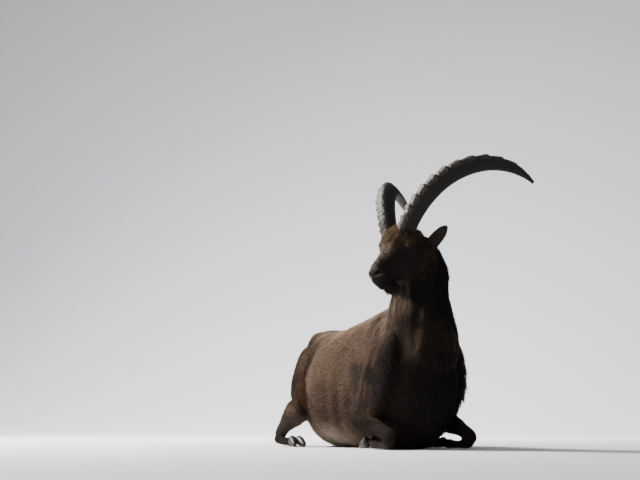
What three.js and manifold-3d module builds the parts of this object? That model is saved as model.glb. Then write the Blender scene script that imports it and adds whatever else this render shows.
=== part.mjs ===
// A life-size male alpine ibex, lying on its chest with its legs folded and its head turned to its right.
// Millimetres, +Z up. The trunk faces -Y, the animal's left side is +X, and the floor is Z = 0.
// Until the last step the origin is the floor point under the withers; the whole is then centred.
// Every table is written for the left side, and the right side is its mirror image.
import * as THREE from "three";
import { mergeVertices } from "three/addons/utils/BufferGeometryUtils.js";
import { LoftGeometry } from "three/addons/geometries/LoftGeometry.js";
import Module from "manifold-3d";

const wasm = await Module();
wasm.setup();

// Fits between neighbouring pieces
const SWELL = 0.45; // how far a neighbour's form is grown before it cuts, which leaves a gap of about 0.3
const WELD = 1e-3;
const LEFT = 1;
const RIGHT = -1;
const TANGENT_STEP = 0.02; // share of a path over which its direction is measured

// Trunk: sections across the body, from the breast to the rump. `mid` is the height of the widest line.
const TRUNK = [
  { y: -316, top: 292, bottom: 196, half: 30, mid: 244 },
  { y: -302, top: 346, bottom: 128, half: 76, mid: 244 },
  { y: -264, top: 404, bottom: 56, half: 114, mid: 238 },
  { y: -205, top: 452, bottom: 14, half: 136, mid: 230 },
  { y: -118, top: 494, bottom: -10, half: 150, mid: 224 },
  { y: -28, top: 520, bottom: -14, half: 160, mid: 220 },
  { y: 65, top: 514, bottom: -14, half: 178, mid: 210 },
  { y: 177, top: 492, bottom: -12, half: 204, mid: 196 },
  { y: 288, top: 470, bottom: -12, half: 224, mid: 186 },
  { y: 388, top: 458, bottom: -10, half: 222, mid: 190 },
  { y: 474, top: 457, bottom: -6, half: 184, mid: 208 },
  { y: 548, top: 462, bottom: 4, half: 148, mid: 236 },
  { y: 618, top: 452, bottom: 30, half: 130, mid: 260 },
  { y: 676, top: 416, bottom: 72, half: 100, mid: 262 },
  { y: 710, top: 366, bottom: 128, half: 60, mid: 256 },
  { y: 720, top: 328, bottom: 178, half: 28, mid: 250 },
];
const TRUNK_POINTS = 30;
const TRUNK_ROWS = 26;
const TRUNK_BOXY = 2.25;
const SPINE_SWAY = 12; // how far the loin curves towards the left

// Swellings of the trunk, mirrored to both sides: a place, a reach, and how far the hide is pushed out
const TRUNK_SWELLINGS = [
  { name: "withers", at: [10, -20, 520], reach: 70, push: [-4, 0, 8] },
  { name: "point of the hip", at: [112, 468, 430], reach: 52, push: [9, 0, 9] },
  { name: "flank hollow", at: [186, 424, 330], reach: 70, push: [-17, 0, -2] },
  { name: "rib arch", at: [214, 262, 236], reach: 100, push: [10, 0, 4] },
  { name: "hollow behind the shoulder", at: [150, 92, 410], reach: 70, push: [-8, 0, -3] },
  { name: "croup", at: [56, 588, 452], reach: 60, push: [3, 0, 8] },
  { name: "upper edge of the rump", at: [76, 600, 440], reach: 40, push: [4, 2, 12] },
];

// Shoulder muscle over the chest wall, from the blade's top to the elbow
const SHOULDER = [
  { at: [92, -92, 420], wide: 22, deep: 64 },
  { at: [108, -126, 388], wide: 35, deep: 102 },
  { at: [125, -144, 334], wide: 44, deep: 118 },
  { at: [138, -146, 250], wide: 48, deep: 108 },
  { at: [148, -94, 160], wide: 44, deep: 80 },
  { at: [150, -22, 122], wide: 34, deep: 52 },
];
const SHOULDER_BOXY = 2.6;

// Neck: from inside the chest to inside the head. `turn` is the share of the head's turn at each section.
const NECK = [
  { at: [10, -126, 350], wide: 134, deep: 196, turn: 0 },
  { at: [14, -184, 418], wide: 131, deep: 186, turn: 0.02 },
  { at: [8, -194, 488], wide: 122, deep: 155, turn: 0.1 },
  { at: [3, -192, 552], wide: 111, deep: 132, turn: 0.3 },
  { at: [-1, -199, 614], wide: 102, deep: 106, turn: 0.6 },
  { at: [-8, -207, 668], wide: 93, deep: 87, turn: 0.88 },
  { at: [-18, -213, 712], wide: 79, deep: 71, turn: 1 },
  { at: [-28, -217, 746], wide: 56, deep: 52, turn: 1 },
  { at: [-38, -220, 768], wide: 22, deep: 24, turn: 1 },
];
const NECK_TILT = 40; // degrees by which the neck's base section leans back from level
const NECK_TILT_END = 20;
const NECK_POINTS = 22;
const NECK_ROWS = 15;

// Head, in its own frame: x runs from the back of the skull to the muzzle, y to the left and z up
const HEAD = [
  { x: -8, top: 32, bottom: -52, half: 26, mid: -10 },
  { x: 6, top: 58, bottom: -77, half: 54, mid: -8 },
  { x: 36, top: 77, bottom: -96, half: 69, mid: -2 },
  { x: 69, top: 87, bottom: -104, half: 71, mid: 4 },
  { x: 102, top: 90, bottom: -102, half: 70, mid: 12 },
  { x: 133, top: 77, bottom: -94, half: 62, mid: 15 },
  { x: 164, top: 62, bottom: -85, half: 49, mid: 8 },
  { x: 198, top: 47, bottom: -76, half: 38, mid: 0 },
  { x: 230, top: 37, bottom: -69, half: 32, mid: -8 },
  { x: 258, top: 30, bottom: -68, half: 30, mid: -15 },
  { x: 281, top: 21, bottom: -69, half: 30, mid: -18 },
  { x: 299, top: 8, bottom: -61, half: 24, mid: -21 },
  { x: 307, top: -5, bottom: -47, half: 12, mid: -23 },
  { x: 309, top: -16, bottom: -34, half: 5, mid: -23 },
];
const HEAD_POINTS = 26;
const HEAD_ROWS = 26;
const HEAD_BOXY = 2.3;
const CROWN_NARROWS = 0.16; // share of the width that the section loses at the crown
const JAW_NARROWS = 0.3;
const HEAD_AT = [-19, -197, 737]; // where the head's origin lies in the body's frame
const HEAD_FACES = 60; // degrees that the head is turned from straight ahead, to its right
const HEAD_NODS = 22; // degrees that its axis points below level
const HEAD_ROLLS = 9; // degrees that its left side is raised

// Swellings of the head, mirrored to both sides: a place, a reach, and how far the skin is pushed out
const HEAD_SWELLINGS = [
  { name: "brow", at: [114, 58, 51], reach: 24, push: [0, 10, 6] },
  { name: "orbit", at: [124, 60, 26], reach: 24, push: [0, 9, 0] },
  { name: "cheek", at: [64, 62, -36], reach: 38, push: [0, 5, -2] },
  { name: "horn base", at: [84, 34, 72], reach: 31, push: [2, 2, 10] },
  { name: "nostril wing", at: [292, 19, -8], reach: 13, push: [3, 4, 1] },
  { name: "upper lip", at: [283, 24, -29], reach: 15, push: [1, 4, -1] },
  { name: "hollow under the eye", at: [156, 54, 10], reach: 25, push: [0, -5, 0] },
  { name: "chin", at: [274, 8, -65], reach: 17, push: [4, 2, -8] },
];

// Eyes
const EYE = { at: [126, 50, 30], radius: 16.5 };
const LID = 3.4; // thickness of the lids over the eyeball
const EYE_LOOKS = [0.36, 0.9, 0.12]; // the way the left eye faces, in the head's frame
const LID_OPENING = { long: 15.5, high: 9.2, deep: 11.5, out: 15.5 };
const EYE_POINTS = 16;

// Mouth and nostrils
const MOUTH_CORNERS = 8; // corners of the mouth's path on each side
const MOUTH = { from: 226, to: 302, corner: -42, front: -24, deep: 3.2, wide: 2.6, steps: 22 };
const NOSTRIL = { at: [300, 14.5, -8], size: [12.5, 4.6, 7], turn: 42, roll: 32 };

// Ears, in the head's frame
const EAR = {
  root: [10, 56, -22],
  along: { left: [0.06, 0.85, 0.52], right: [-0.3, 0.85, 0.12] }, // the right ear is turned further back
  opens: [0.86, 0, 0],
  length: 117,
  cup: 24, // half the width at the widest
  wall: 4.6,
  wrap: 108, // degrees that the cup closes round, to each side
  unrolls: 0.55, // share of the wrap that is lost by the tip
  bends: 12, // how far the tip bends back
};
const EAR_WIDTHS = [0.6, 0.8, 0.94, 1, 1, 0.97, 0.88, 0.68, 0.3];
const EAR_ROWS = 8;
const EAR_SIDE_POINTS = 6;

// Horns, in the head's frame
const HORN = {
  root: [89.5, 30.5, 59.5],
  length: 659, // along the middle of the horn
  depth: 34, // half the depth from front to back at the root
  width: 24.5, // half the width of the front face at the root
  back: 0.75, // share of that width at the rear edge
  boxy: 0.6, // below 1, the section has fuller corners than an oval
  knobs: 12,
  knob: 6.5, // how far a knob stands out at the front
  knobDrop: 0.012, // share of the horn's length over which a knob falls off towards the tip
  firstKnob: 0.05,
  knobReach: 0.79,
  knobSpread: 1.25, // above 1, the knobs stand further apart towards the tip
};
// Each horn's curve in degrees: `rise` from the head's forward axis to its first direction, and `bend`
// from root to tip, with a share `tighter` of it left to the outer half. `spread` and `lean` are outwards,
// and `twist` turns the front face towards the head's right.
const HORN_CURVES = {
  left: { rise: 121.7, bend: 114.5, tighter: 0.21, spread: 31.8, lean: 11.6, twist: 8 },
  right: { rise: 129.9, bend: 125.2, tighter: 0.26, spread: 24, lean: 0.3, twist: 27.7 },
};
const HORN_TAPER = [0.94, 0.98, 1, 0.98, 0.95, 0.87, 0.72, 0.49, 0.18];
const HORN_POINTS = 12;
const HORN_END_ROWS = [0.91, 0.96, 1];

// Beard: short locks under the chin, rooted inside the jaw
const BEARD = { rows: 3, across: 3, length: 62, wide: 12, thick: 8, from: 228, to: 252, half: 7, sunk: 12 };

// Legs, folded under the trunk
const FOREARM = [
  { at: [140, 16, 140], wide: 41, deep: 56 },
  { at: [156, -42, 119], wide: 43, deep: 52 },
  { at: [163, -116, 95], wide: 35, deep: 41 },
  { at: [163, -182, 76], wide: 27, deep: 30 },
  { at: [159, -235, 61], wide: 25, deep: 27 },
  { at: [156, -271, 45], wide: 27, deep: 31 },
  { at: [154, -293, 35], wide: 20, deep: 21 },
];
const FORE_CANNON = [
  { at: [154, -276, 22], wide: 20, deep: 19 },
  { at: [152, -242, 19], wide: 19, deep: 18 },
  { at: [149, -191, 18], wide: 16, deep: 16 },
  { at: [145, -142, 19], wide: 20, deep: 20 },
  { at: [142, -111, 22], wide: 17, deep: 16 },
  { at: [140, -87, 25], wide: 19, deep: 16 },
];
const FORE_HOOF = { at: [140, -85, 24], along: [-0.12, 0.98, -0.16], lift: [0, 0.16, 0.98] };
const THIGH = [
  { at: [46, 612, 364], wide: 52, deep: 72 },
  { at: [72, 582, 332], wide: 72, deep: 98 },
  { at: [114, 520, 282], wide: 76, deep: 108 },
  { at: [166, 456, 236], wide: 65, deep: 95 },
  { at: [200, 404, 198], wide: 50, deep: 68 },
  { at: [209, 374, 177], wide: 31, deep: 41 },
];
const SHANK = [
  { at: [204, 384, 160], wide: 39, deep: 54 },
  { at: [212, 426, 142], wide: 42, deep: 56 },
  { at: [212, 493, 112], wide: 36, deep: 44 },
  { at: [204, 564, 84], wide: 26, deep: 33 },
  { at: [196, 621, 61], wide: 22, deep: 30 },
  { at: [192, 658, 47], wide: 20, deep: 27 },
];
const HIND_CANNON = [
  { at: [192, 670, 32], wide: 20, deep: 24 },
  { at: [196, 640, 25], wide: 20, deep: 22 },
  { at: [204, 577, 20], wide: 17, deep: 18 },
  { at: [212, 517, 19], wide: 17, deep: 18 },
  { at: [218, 480, 21], wide: 21, deep: 21 },
  { at: [223, 448, 25], wide: 18, deep: 17 },
  { at: [227, 424, 26], wide: 19, deep: 17 },
];
const HIND_HOOF = { at: [227, 422, 24], along: [0.12, -0.98, -0.16], lift: [0, -0.16, 0.98] };
const LEG_POINTS = 13;
const SHOULDER_ROWS = 8;
const STAGGER = { fore: 15, hind: -9 }; // how far the right legs lie behind the left ones

// Each hoof is two claws, and two dew claws sit behind the fetlock
const CLAW = {
  length: 60,
  wide: 14, // half the width
  high: 20, // half the height
  apart: 14,
  splay: 4.8, // degrees
  drops: 0.62, // share of the height that is lost by the toe
  rounds: 0.82,
  points: 10,
};
const CLAW_SHARES = [0, 0.4, 0.75, 0.93, 1];
const DEW_CLAW = { radius: 8, length: 20, apart: 14, lift: 14, sides: 8, tilt: 119 };
const DEW_CLAW_BACK = { fore: -34, hind: 40 };

// Tail: a short flat brush that hangs over the rump
const TAIL = [
  { at: [4, 668, 412], wide: 24, deep: 18 },
  { at: [4, 706, 396], wide: 23, deep: 16 },
  { at: [5, 731, 362], wide: 21, deep: 13 },
  { at: [6, 741, 322], wide: 19, deep: 11 },
  { at: [7, 742, 288], wide: 11, deep: 7 },
];
const TAIL_LOCKS = { count: 5, length: 50, wide: 10, thick: 4, spread: 26 };

// Locks of hair
const LOCK_SHARES = [0, 0.35, 0.7, 1];
const LOCK_POINTS = 6;
const LOCK_TAPER = 1.08; // a lock narrows past the point where this less its share falls below 1

const FINISH = { roughness: 0.85, metalness: 0 };
const COLOURS = {
  coat: 0x85705f,
  mane: 0x4b3a30,
  face: 0x5f4836,
  legs: 0x35281f,
  horn: 0x6f665a,
  hoof: 0x2a241f,
  eye: 0x8a6420,
};

// Small tools

const rad = THREE.MathUtils.degToRad;

const vector = (list) => new THREE.Vector3(...list);

// A point or direction of the body's frame, or of the head's, taken across to the given side.
const onBodySide = ([x, y, z], side) => new THREE.Vector3(x * side, y, z);
const onHeadSide = ([x, y, z], side) => new THREE.Vector3(x, y * side, z);

// A value between the rows of a table, by a Catmull-Rom spline through each column.
function between(rows, key, share) {
  const place = THREE.MathUtils.clamp(share, 0, 1) * (rows.length - 1);
  const i = Math.min(Math.floor(place), rows.length - 2);
  const t = place - i;
  const read = (k) => rows[THREE.MathUtils.clamp(k, 0, rows.length - 1)][key];
  const [a, b, c, d] = [read(i - 1), read(i), read(i + 1), read(i + 2)];
  const blend = (p, q, r, s) =>
    q + 0.5 * t * (r - p + t * (2 * p - 5 * q + 4 * r - s + t * (3 * (q - r) + s - p)));
  return Array.isArray(b) ? b.map((_, n) => blend(a[n], b[n], c[n], d[n])) : blend(a, b, c, d);
}

// The same for a plain list of numbers.
const spline = (values, share) => between(values.map((value) => ({ value })), "value", share);

const power = (value, exponent) => Math.sign(value) * Math.abs(value) ** exponent;

// A closed geometry with shared corners and no other attributes.
function bare(geometry) {
  const copy = new THREE.BufferGeometry().copy(geometry);
  copy.deleteAttribute("normal");
  copy.deleteAttribute("uv");
  return mergeVertices(copy, WELD);
}

// Moves each corner of a geometry by a rule.
function reshape(geometry, rule) {
  const places = geometry.getAttribute("position");
  const p = new THREE.Vector3();
  for (let i = 0; i < places.count; i++) {
    rule(p.fromBufferAttribute(places, i));
    places.setXYZ(i, p.x, p.y, p.z);
  }
  return geometry;
}

// Pushes a point out by each swelling in a list and by its mirror image across the axis that runs sideways.
function swell(p, swellings, sideways) {
  for (const { at, reach, push } of swellings) {
    for (const side of [LEFT, RIGHT]) {
      const [centre, shift] = [vector(at), vector(push)];
      centre[sideways] *= side;
      shift[sideways] *= side;
      p.addScaledVector(shift, Math.exp(-p.distanceToSquared(centre) / reach ** 2));
    }
  }
}

const onTheFloor = (geometry) => reshape(geometry, (p) => p.setZ(Math.max(p.z, 0)));

// The same form a little larger all round, to cut a neighbour with.
function swollen(geometry) {
  const grown = bare(geometry);
  grown.computeVertexNormals();
  const normals = grown.getAttribute("normal").clone();
  const places = grown.getAttribute("position");
  for (let i = 0; i < places.count; i++) {
    places.setXYZ(
      i,
      places.getX(i) + normals.getX(i) * SWELL,
      places.getY(i) + normals.getY(i) * SWELL,
      places.getZ(i) + normals.getZ(i) * SWELL,
    );
  }
  return grown;
}

// A closed geometry as a manifold-3d solid, turned the right way out.
function solid(geometry) {
  const form = bare(geometry);
  const triVerts = new Uint32Array(form.index.array);
  const vertProperties = form.attributes.position.array;
  const made = new wasm.Manifold(new wasm.Mesh({ numProp: 3, vertProperties, triVerts }));
  if (made.volume() > 0) return made;
  for (let i = 0; i < triVerts.length; i += 3) {
    [triVerts[i + 1], triVerts[i + 2]] = [triVerts[i + 2], triVerts[i + 1]];
  }
  return new wasm.Manifold(new wasm.Mesh({ numProp: 3, vertProperties, triVerts }));
}

const joined = (geometries) => geometries.map((g) => solid(g)).reduce((a, b) => a.add(b));

// The largest closed surface of a solid.
function largest(form) {
  const surfaces = form.decompose();
  return surfaces.sort((a, b) => b.volume() - a.volume())[0];
}

function geometryOf(form) {
  const mesh = form.getMesh();
  const geometry = new THREE.BufferGeometry();
  geometry.setAttribute("position", new THREE.BufferAttribute(mesh.vertProperties, 3));
  geometry.setIndex(new THREE.BufferAttribute(mesh.triVerts, 1));
  return geometry;
}

const middleOf = (ring) => ring.reduce((sum, p) => sum.add(p), new THREE.Vector3()).divideScalar(ring.length);

// A closed loft through rings of points, each wound so that the walls face outwards.
function loft(rings) {
  const facing = new THREE.Vector3();
  rings[0].forEach((p, i) => facing.add(p.clone().cross(rings[0][(i + 1) % rings[0].length])));
  const ahead = middleOf(rings[1]).sub(middleOf(rings[0]));
  const wound = facing.dot(ahead) < 0 ? rings.map((ring) => ring.slice().reverse()) : rings;
  return new LoftGeometry(wound, { capStart: true, capEnd: true });
}

// One section in a plane: a superellipse, `wide` to each side, `deep` to the front and `back` to the back.
function section({ at, side, front, wide, deep, back = deep, boxy = 2, points = LEG_POINTS }) {
  const ring = [];
  for (let i = 0; i < points; i++) {
    const angle = (i / points) * 2 * Math.PI;
    const across = power(Math.cos(angle), 2 / boxy) * wide;
    const along = power(Math.sin(angle), 2 / boxy) * (Math.sin(angle) > 0 ? deep : back);
    ring.push(at.clone().addScaledVector(side, across).addScaledVector(front, along));
  }
  return ring;
}

// A limb: sections square to a smooth path, whose wide direction stays level with X.
function limb(rows, side, count, points = LEG_POINTS, boxy = 2) {
  const centre = (share) => onBodySide(between(rows, "at", share), side);
  const rings = [];
  for (let i = 0; i <= count; i++) {
    const share = i / count;
    const tangent = centre(share + TANGENT_STEP).sub(centre(share - TANGENT_STEP)).normalize();
    const front = new THREE.Vector3().crossVectors(tangent, new THREE.Vector3(1, 0, 0)).normalize();
    const across = new THREE.Vector3().crossVectors(front, tangent);
    const wide = between(rows, "wide", share);
    const deep = between(rows, "deep", share);
    rings.push(section({ at: centre(share), side: across, front, wide, deep, boxy, points }));
  }
  return loft(rings);
}

// A flat, tapered lock that bends from its first direction to its lie, with its broad side facing `face`.
function lock({ root, grow, lie, face, length, wide, thick }) {
  const rings = [];
  const at = root.clone();
  LOCK_SHARES.forEach((share, i) => {
    const along = grow.clone().lerp(lie, share).normalize();
    if (i > 0) at.addScaledVector(along, (share - LOCK_SHARES[i - 1]) * length);
    const across = new THREE.Vector3().crossVectors(along, face).normalize();
    const out = new THREE.Vector3().crossVectors(across, along);
    const taper = Math.min(1, LOCK_TAPER - share);
    const size = { wide: wide * taper, deep: thick * taper };
    rings.push(section({ at: at.clone(), side: across, front: out, ...size, points: LOCK_POINTS }));
  });
  return loft(rings);
}

// Torso

function trunk() {
  const rings = [];
  for (let row = 0; row <= TRUNK_ROWS; row++) {
    const share = row / TRUNK_ROWS;
    const mid = between(TRUNK, "mid", share);
    const sway = SPINE_SWAY * Math.sin(Math.PI * share) ** 2;
    rings.push(
      section({
        at: new THREE.Vector3(sway, between(TRUNK, "y", share), mid),
        side: new THREE.Vector3(1, 0, 0),
        front: new THREE.Vector3(0, 0, 1),
        wide: between(TRUNK, "half", share),
        deep: between(TRUNK, "top", share) - mid,
        back: mid - between(TRUNK, "bottom", share),
        boxy: TRUNK_BOXY,
        points: TRUNK_POINTS,
      }),
    );
  }
  return reshape(loft(rings), (p) => swell(p, TRUNK_SWELLINGS, "x"));
}

const shoulder = (side) => {
  const form = limb(SHOULDER, side, SHOULDER_ROWS, LEG_POINTS, SHOULDER_BOXY);
  return form.translate(0, staggered(side, "fore"), 0);
};

const staggered = (side, end) => (side === RIGHT ? STAGGER[end] : 0);

// Neck

function neck() {
  const up = new THREE.Vector3(0, 0, 1);
  const rings = [];
  for (let row = 0; row <= NECK_ROWS; row++) {
    const share = row / NECK_ROWS;
    const turned = rad(-HEAD_FACES * between(NECK, "turn", share));
    const tilt = rad(THREE.MathUtils.lerp(NECK_TILT, NECK_TILT_END, share));
    rings.push(
      section({
        at: vector(between(NECK, "at", share)),
        side: new THREE.Vector3(1, 0, 0).applyAxisAngle(up, turned),
        front: new THREE.Vector3(0, -Math.cos(tilt), -Math.sin(tilt)).applyAxisAngle(up, turned),
        wide: between(NECK, "wide", share),
        deep: between(NECK, "deep", share),
        points: NECK_POINTS,
      }),
    );
  }
  return loft(rings);
}

// Head, in its own frame

// A point of the plain head, before the swellings: `angle` runs from the left side over the crown.
function headPoint(share, angle) {
  const up = Math.sin(angle) > 0;
  const mid = between(HEAD, "mid", share);
  const reach = up ? between(HEAD, "top", share) - mid : mid - between(HEAD, "bottom", share);
  const narrow = 1 - (up ? CROWN_NARROWS : JAW_NARROWS) * Math.abs(Math.sin(angle)) ** 1.5;
  return new THREE.Vector3(
    between(HEAD, "x", share),
    power(Math.cos(angle), 2 / HEAD_BOXY) * between(HEAD, "half", share) * narrow,
    mid + power(Math.sin(angle), 2 / HEAD_BOXY) * reach,
  );
}

const swellHead = (p) => swell(p, HEAD_SWELLINGS, "y");

function skull() {
  const rings = [];
  for (let row = 0; row <= HEAD_ROWS; row++) {
    const ring = [];
    for (let i = 0; i < HEAD_POINTS; i++) {
      ring.push(headPoint(row / HEAD_ROWS, (i / HEAD_POINTS) * 2 * Math.PI));
    }
    rings.push(ring);
  }
  return reshape(loft(rings), swellHead);
}

// A ball stretched along its own axes, rolled, and turned to look a given way.
function ball({ at, sizes, looks, roll = 0 }) {
  const geometry = new THREE.SphereGeometry(1, EYE_POINTS, Math.round(EYE_POINTS * 0.6));
  geometry.scale(...sizes).rotateZ(rad(roll));
  const turn = new THREE.Matrix4().lookAt(looks, new THREE.Vector3(), new THREE.Vector3(0, 0, 1));
  return geometry.applyMatrix4(turn).translate(at.x, at.y, at.z);
}

function eyeball(side, extra = 0) {
  const sizes = Array(3).fill(EYE.radius + extra);
  return ball({ at: onHeadSide(EYE.at, side), sizes, looks: onHeadSide(EYE_LOOKS, side) });
}

// What opens the lids: an almond that reaches outwards from the eyeball.
function lidOpening(side) {
  const looks = onHeadSide(EYE_LOOKS, side).normalize();
  const at = onHeadSide(EYE.at, side).addScaledVector(looks, LID_OPENING.out);
  return ball({ at, sizes: [LID_OPENING.long, LID_OPENING.high, LID_OPENING.deep], looks });
}

// The line of the mouth: a thin wedge carried round the muzzle just inside the skin.
function mouthLine() {
  const path = [];
  for (let i = -MOUTH_CORNERS; i <= MOUTH_CORNERS; i++) {
    const bend = Math.abs(i) / MOUTH_CORNERS;
    const x = THREE.MathUtils.lerp(MOUTH.to, MOUTH.from, bend ** 1.5);
    const level = THREE.MathUtils.lerp(MOUTH.front, MOUTH.corner, bend);
    path.push(new THREE.Vector3(x, Math.sign(i) * mouthHalf(x, level), level));
  }
  const wedge = new THREE.Shape();
  wedge.moveTo(-MOUTH.wide / 2, 0);
  wedge.lineTo(0, -MOUTH.deep);
  wedge.lineTo(MOUTH.wide / 2, 0);
  wedge.lineTo(0, MOUTH.deep);
  const extrudePath = new THREE.CatmullRomCurve3(path);
  return new THREE.ExtrudeGeometry(wedge, { steps: MOUTH.steps, bevelEnabled: false, extrudePath });
}

// Half the width of the swollen head at a height, found by walking down its section.
function mouthHalf(x, level) {
  const share = shareAt(x);
  let best = new THREE.Vector3();
  for (let angle = 0; angle > -Math.PI / 2; angle -= 0.02) {
    const p = headPoint(share, angle);
    swellHead(p);
    if (p.z < level) break;
    best = p;
  }
  return best.y;
}

// How far along the head's table a place on its axis lies, found by halving.
function shareAt(x) {
  let low = 0;
  let high = 1;
  for (let i = 0; i < 20; i++) {
    const middle = (low + high) / 2;
    if (between(HEAD, "x", middle) < x) low = middle;
    else high = middle;
  }
  return low;
}

function nostril(side) {
  const turn = rad(NOSTRIL.turn);
  const looks = new THREE.Vector3(Math.cos(turn), Math.sin(turn) * side, 0.1);
  return ball({ at: onHeadSide(NOSTRIL.at, side), sizes: NOSTRIL.size, looks, roll: NOSTRIL.roll * side });
}

// The beard: rows of locks, the middle ones longest.
function beard() {
  const locks = [];
  for (let row = 0; row < BEARD.rows; row++) {
    const x = THREE.MathUtils.lerp(BEARD.from, BEARD.to, row / (BEARD.rows - 1));
    const root = between(HEAD, "bottom", shareAt(x)) + BEARD.sunk;
    for (let i = 0; i < BEARD.across; i++) {
      const spot = (i + 0.5) / BEARD.across - 0.5 + (row % 2 ? 0.08 : -0.08);
      const ragged = 0.84 + 0.16 * Math.sin(5 * row + 3 * i);
      locks.push(
        lock({
          root: new THREE.Vector3(x, spot * 2 * BEARD.half, root),
          grow: new THREE.Vector3(0.1, spot * 0.5, -1),
          lie: new THREE.Vector3(-0.35, spot * 0.3, -1),
          face: new THREE.Vector3(1, 0, 0.25),
          length: BEARD.length * ragged * (1 - 0.5 * Math.abs(spot)),
          wide: BEARD.wide,
          thick: BEARD.thick,
        }),
      );
    }
  }
  return locks;
}

// Ears, each in a frame whose Z runs along the ear and whose Y is the way that it opens

function earFrame(parent, word, side) {
  const along = onHeadSide(EAR.along[word], side).normalize();
  const open = onHeadSide(EAR.opens, side);
  open.addScaledVector(along, -open.dot(along)).normalize();
  const across = new THREE.Vector3().crossVectors(open, along);
  return frame(parent, onHeadSide(EAR.root, side), new THREE.Matrix4().makeBasis(across, open, along));
}

// A cupped leaf: each section is a crescent that is open towards Y.
function ear() {
  const rings = [];
  for (let row = 0; row <= EAR_ROWS; row++) {
    const share = row / EAR_ROWS;
    const width = EAR.cup * spline(EAR_WIDTHS, share);
    const wall = Math.min(EAR.wall, width * 0.5);
    const wrap = rad(EAR.wrap * (1 - EAR.unrolls * share));
    const middle = width * 0.4 - EAR.bends * share ** 2;
    const wallPoint = (radius, angle) =>
      new THREE.Vector3(Math.sin(angle) * radius, middle - Math.cos(angle) * radius, share * EAR.length);
    const ring = [];
    for (let i = 0; i < EAR_SIDE_POINTS; i++) {
      ring.push(wallPoint(width, THREE.MathUtils.lerp(-wrap, wrap, i / (EAR_SIDE_POINTS - 1))));
    }
    for (let i = 0; i < EAR_SIDE_POINTS; i++) {
      const turn = THREE.MathUtils.lerp(wrap, -wrap, i / (EAR_SIDE_POINTS - 1)) * 0.94;
      ring.push(wallPoint(width - wall, turn));
    }
    rings.push(ring);
  }
  return loft(rings);
}

// Horns, each in a frame whose XZ plane holds its curve

function hornFrame(parent, word, side) {
  const { spread, lean } = HORN_CURVES[word];
  const turn = new THREE.Euler(rad(-lean * side), 0, rad(-spread * side), "XYZ");
  return frame(parent, onHeadSide(HORN.root, side), new THREE.Matrix4().makeRotationFromEuler(turn));
}

// How far along the horn each knob stands: close together at the root and wider towards the middle.
function knobPlaces() {
  const places = [];
  for (let k = 0; k < HORN.knobs; k++) {
    places.push(HORN.firstKnob + HORN.knobReach * (k / (HORN.knobs - 1)) ** HORN.knobSpread);
  }
  return places;
}

// Between two knobs the front rises evenly from the foot of one to the crest of the next.
function horn(word, side) {
  const { rise, bend, tighter, twist } = HORN_CURVES[word];
  const heading = (share) => rad(rise + bend * (share + tighter * (share ** 2 - share)));
  const along = (angle) => new THREE.Vector3(Math.cos(angle), 0, Math.sin(angle));
  const level = new THREE.Vector3(0, side, 0);
  const crests = knobPlaces();
  const rings = [];
  const at = new THREE.Vector3();
  let last = 0;
  for (const share of [0, ...crests.flatMap((place) => [place, place + HORN.knobDrop]), ...HORN_END_ROWS]) {
    at.addScaledVector(along(heading((share + last) / 2)), (share - last) * HORN.length);
    last = share;
    const tangent = along(heading(share));
    const front = new THREE.Vector3().crossVectors(level, tangent).multiplyScalar(side);
    const across = level.clone().applyAxisAngle(tangent, -rad(twist));
    front.applyAxisAngle(tangent, -rad(twist));
    rings.push(hornSection(at.clone(), across, front, share, crests.includes(share) ? HORN.knob : 0));
  }
  return loft(rings);
}

// A horn's section: a broad front, which a knob pushes out, narrowing to the rear.
function hornSection(at, across, front, share, rise) {
  const taper = spline(HORN_TAPER, share);
  const ring = [];
  for (let i = 0; i < HORN_POINTS; i++) {
    const angle = ((i + 0.5) / HORN_POINTS) * 2 * Math.PI;
    const ahead = power(Math.sin(angle), HORN.boxy);
    const narrow = THREE.MathUtils.lerp(HORN.back, 1, (ahead + 1) / 2);
    const knob = rise * taper * THREE.MathUtils.smoothstep(Math.sin(angle), 0, 0.7);
    const out = power(Math.cos(angle), HORN.boxy) * (HORN.width * taper * narrow + knob * 0.3);
    const forward = ahead * HORN.depth * taper + knob;
    ring.push(at.clone().addScaledVector(across, out).addScaledVector(front, forward));
  }
  return ring;
}

// Hooves, each in a frame whose Y runs towards the toes and whose Z leaves the sole

function hoofFrame(parent, hoof, side) {
  const along = onBodySide(hoof.along, side).normalize();
  const lift = onBodySide(hoof.lift, side).normalize();
  const across = new THREE.Vector3().crossVectors(along, lift);
  return frame(parent, onBodySide(hoof.at, side), new THREE.Matrix4().makeBasis(across, along, lift));
}

// One claw: a wedge with a flat sole and a rounded toe.
function claw() {
  const rings = CLAW_SHARES.map((share) => {
    const height = CLAW.high * (1 - CLAW.drops * share ** 2);
    return section({
      at: new THREE.Vector3(0, share * CLAW.length, -(CLAW.high - height) * 0.55),
      side: new THREE.Vector3(1, 0, 0),
      front: new THREE.Vector3(0, 0, 1),
      wide: CLAW.wide * Math.sqrt(1 - CLAW.rounds * share ** 3),
      deep: height,
      back: height * 0.8,
      boxy: 2.4,
      points: CLAW.points,
    });
  });
  return loft(rings);
}

function dewClaws(hoof, end, side) {
  return [LEFT, RIGHT].map((way) => {
    const cone = new THREE.ConeGeometry(DEW_CLAW.radius, DEW_CLAW.length, DEW_CLAW.sides);
    const at = onBodySide(hoof.at, side);
    return cone
      .rotateX(rad(DEW_CLAW.tilt))
      .translate(at.x + way * DEW_CLAW.apart, at.y + DEW_CLAW_BACK[end], at.z + DEW_CLAW.lift);
  });
}

// Tail: a brush with locks round its end

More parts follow.
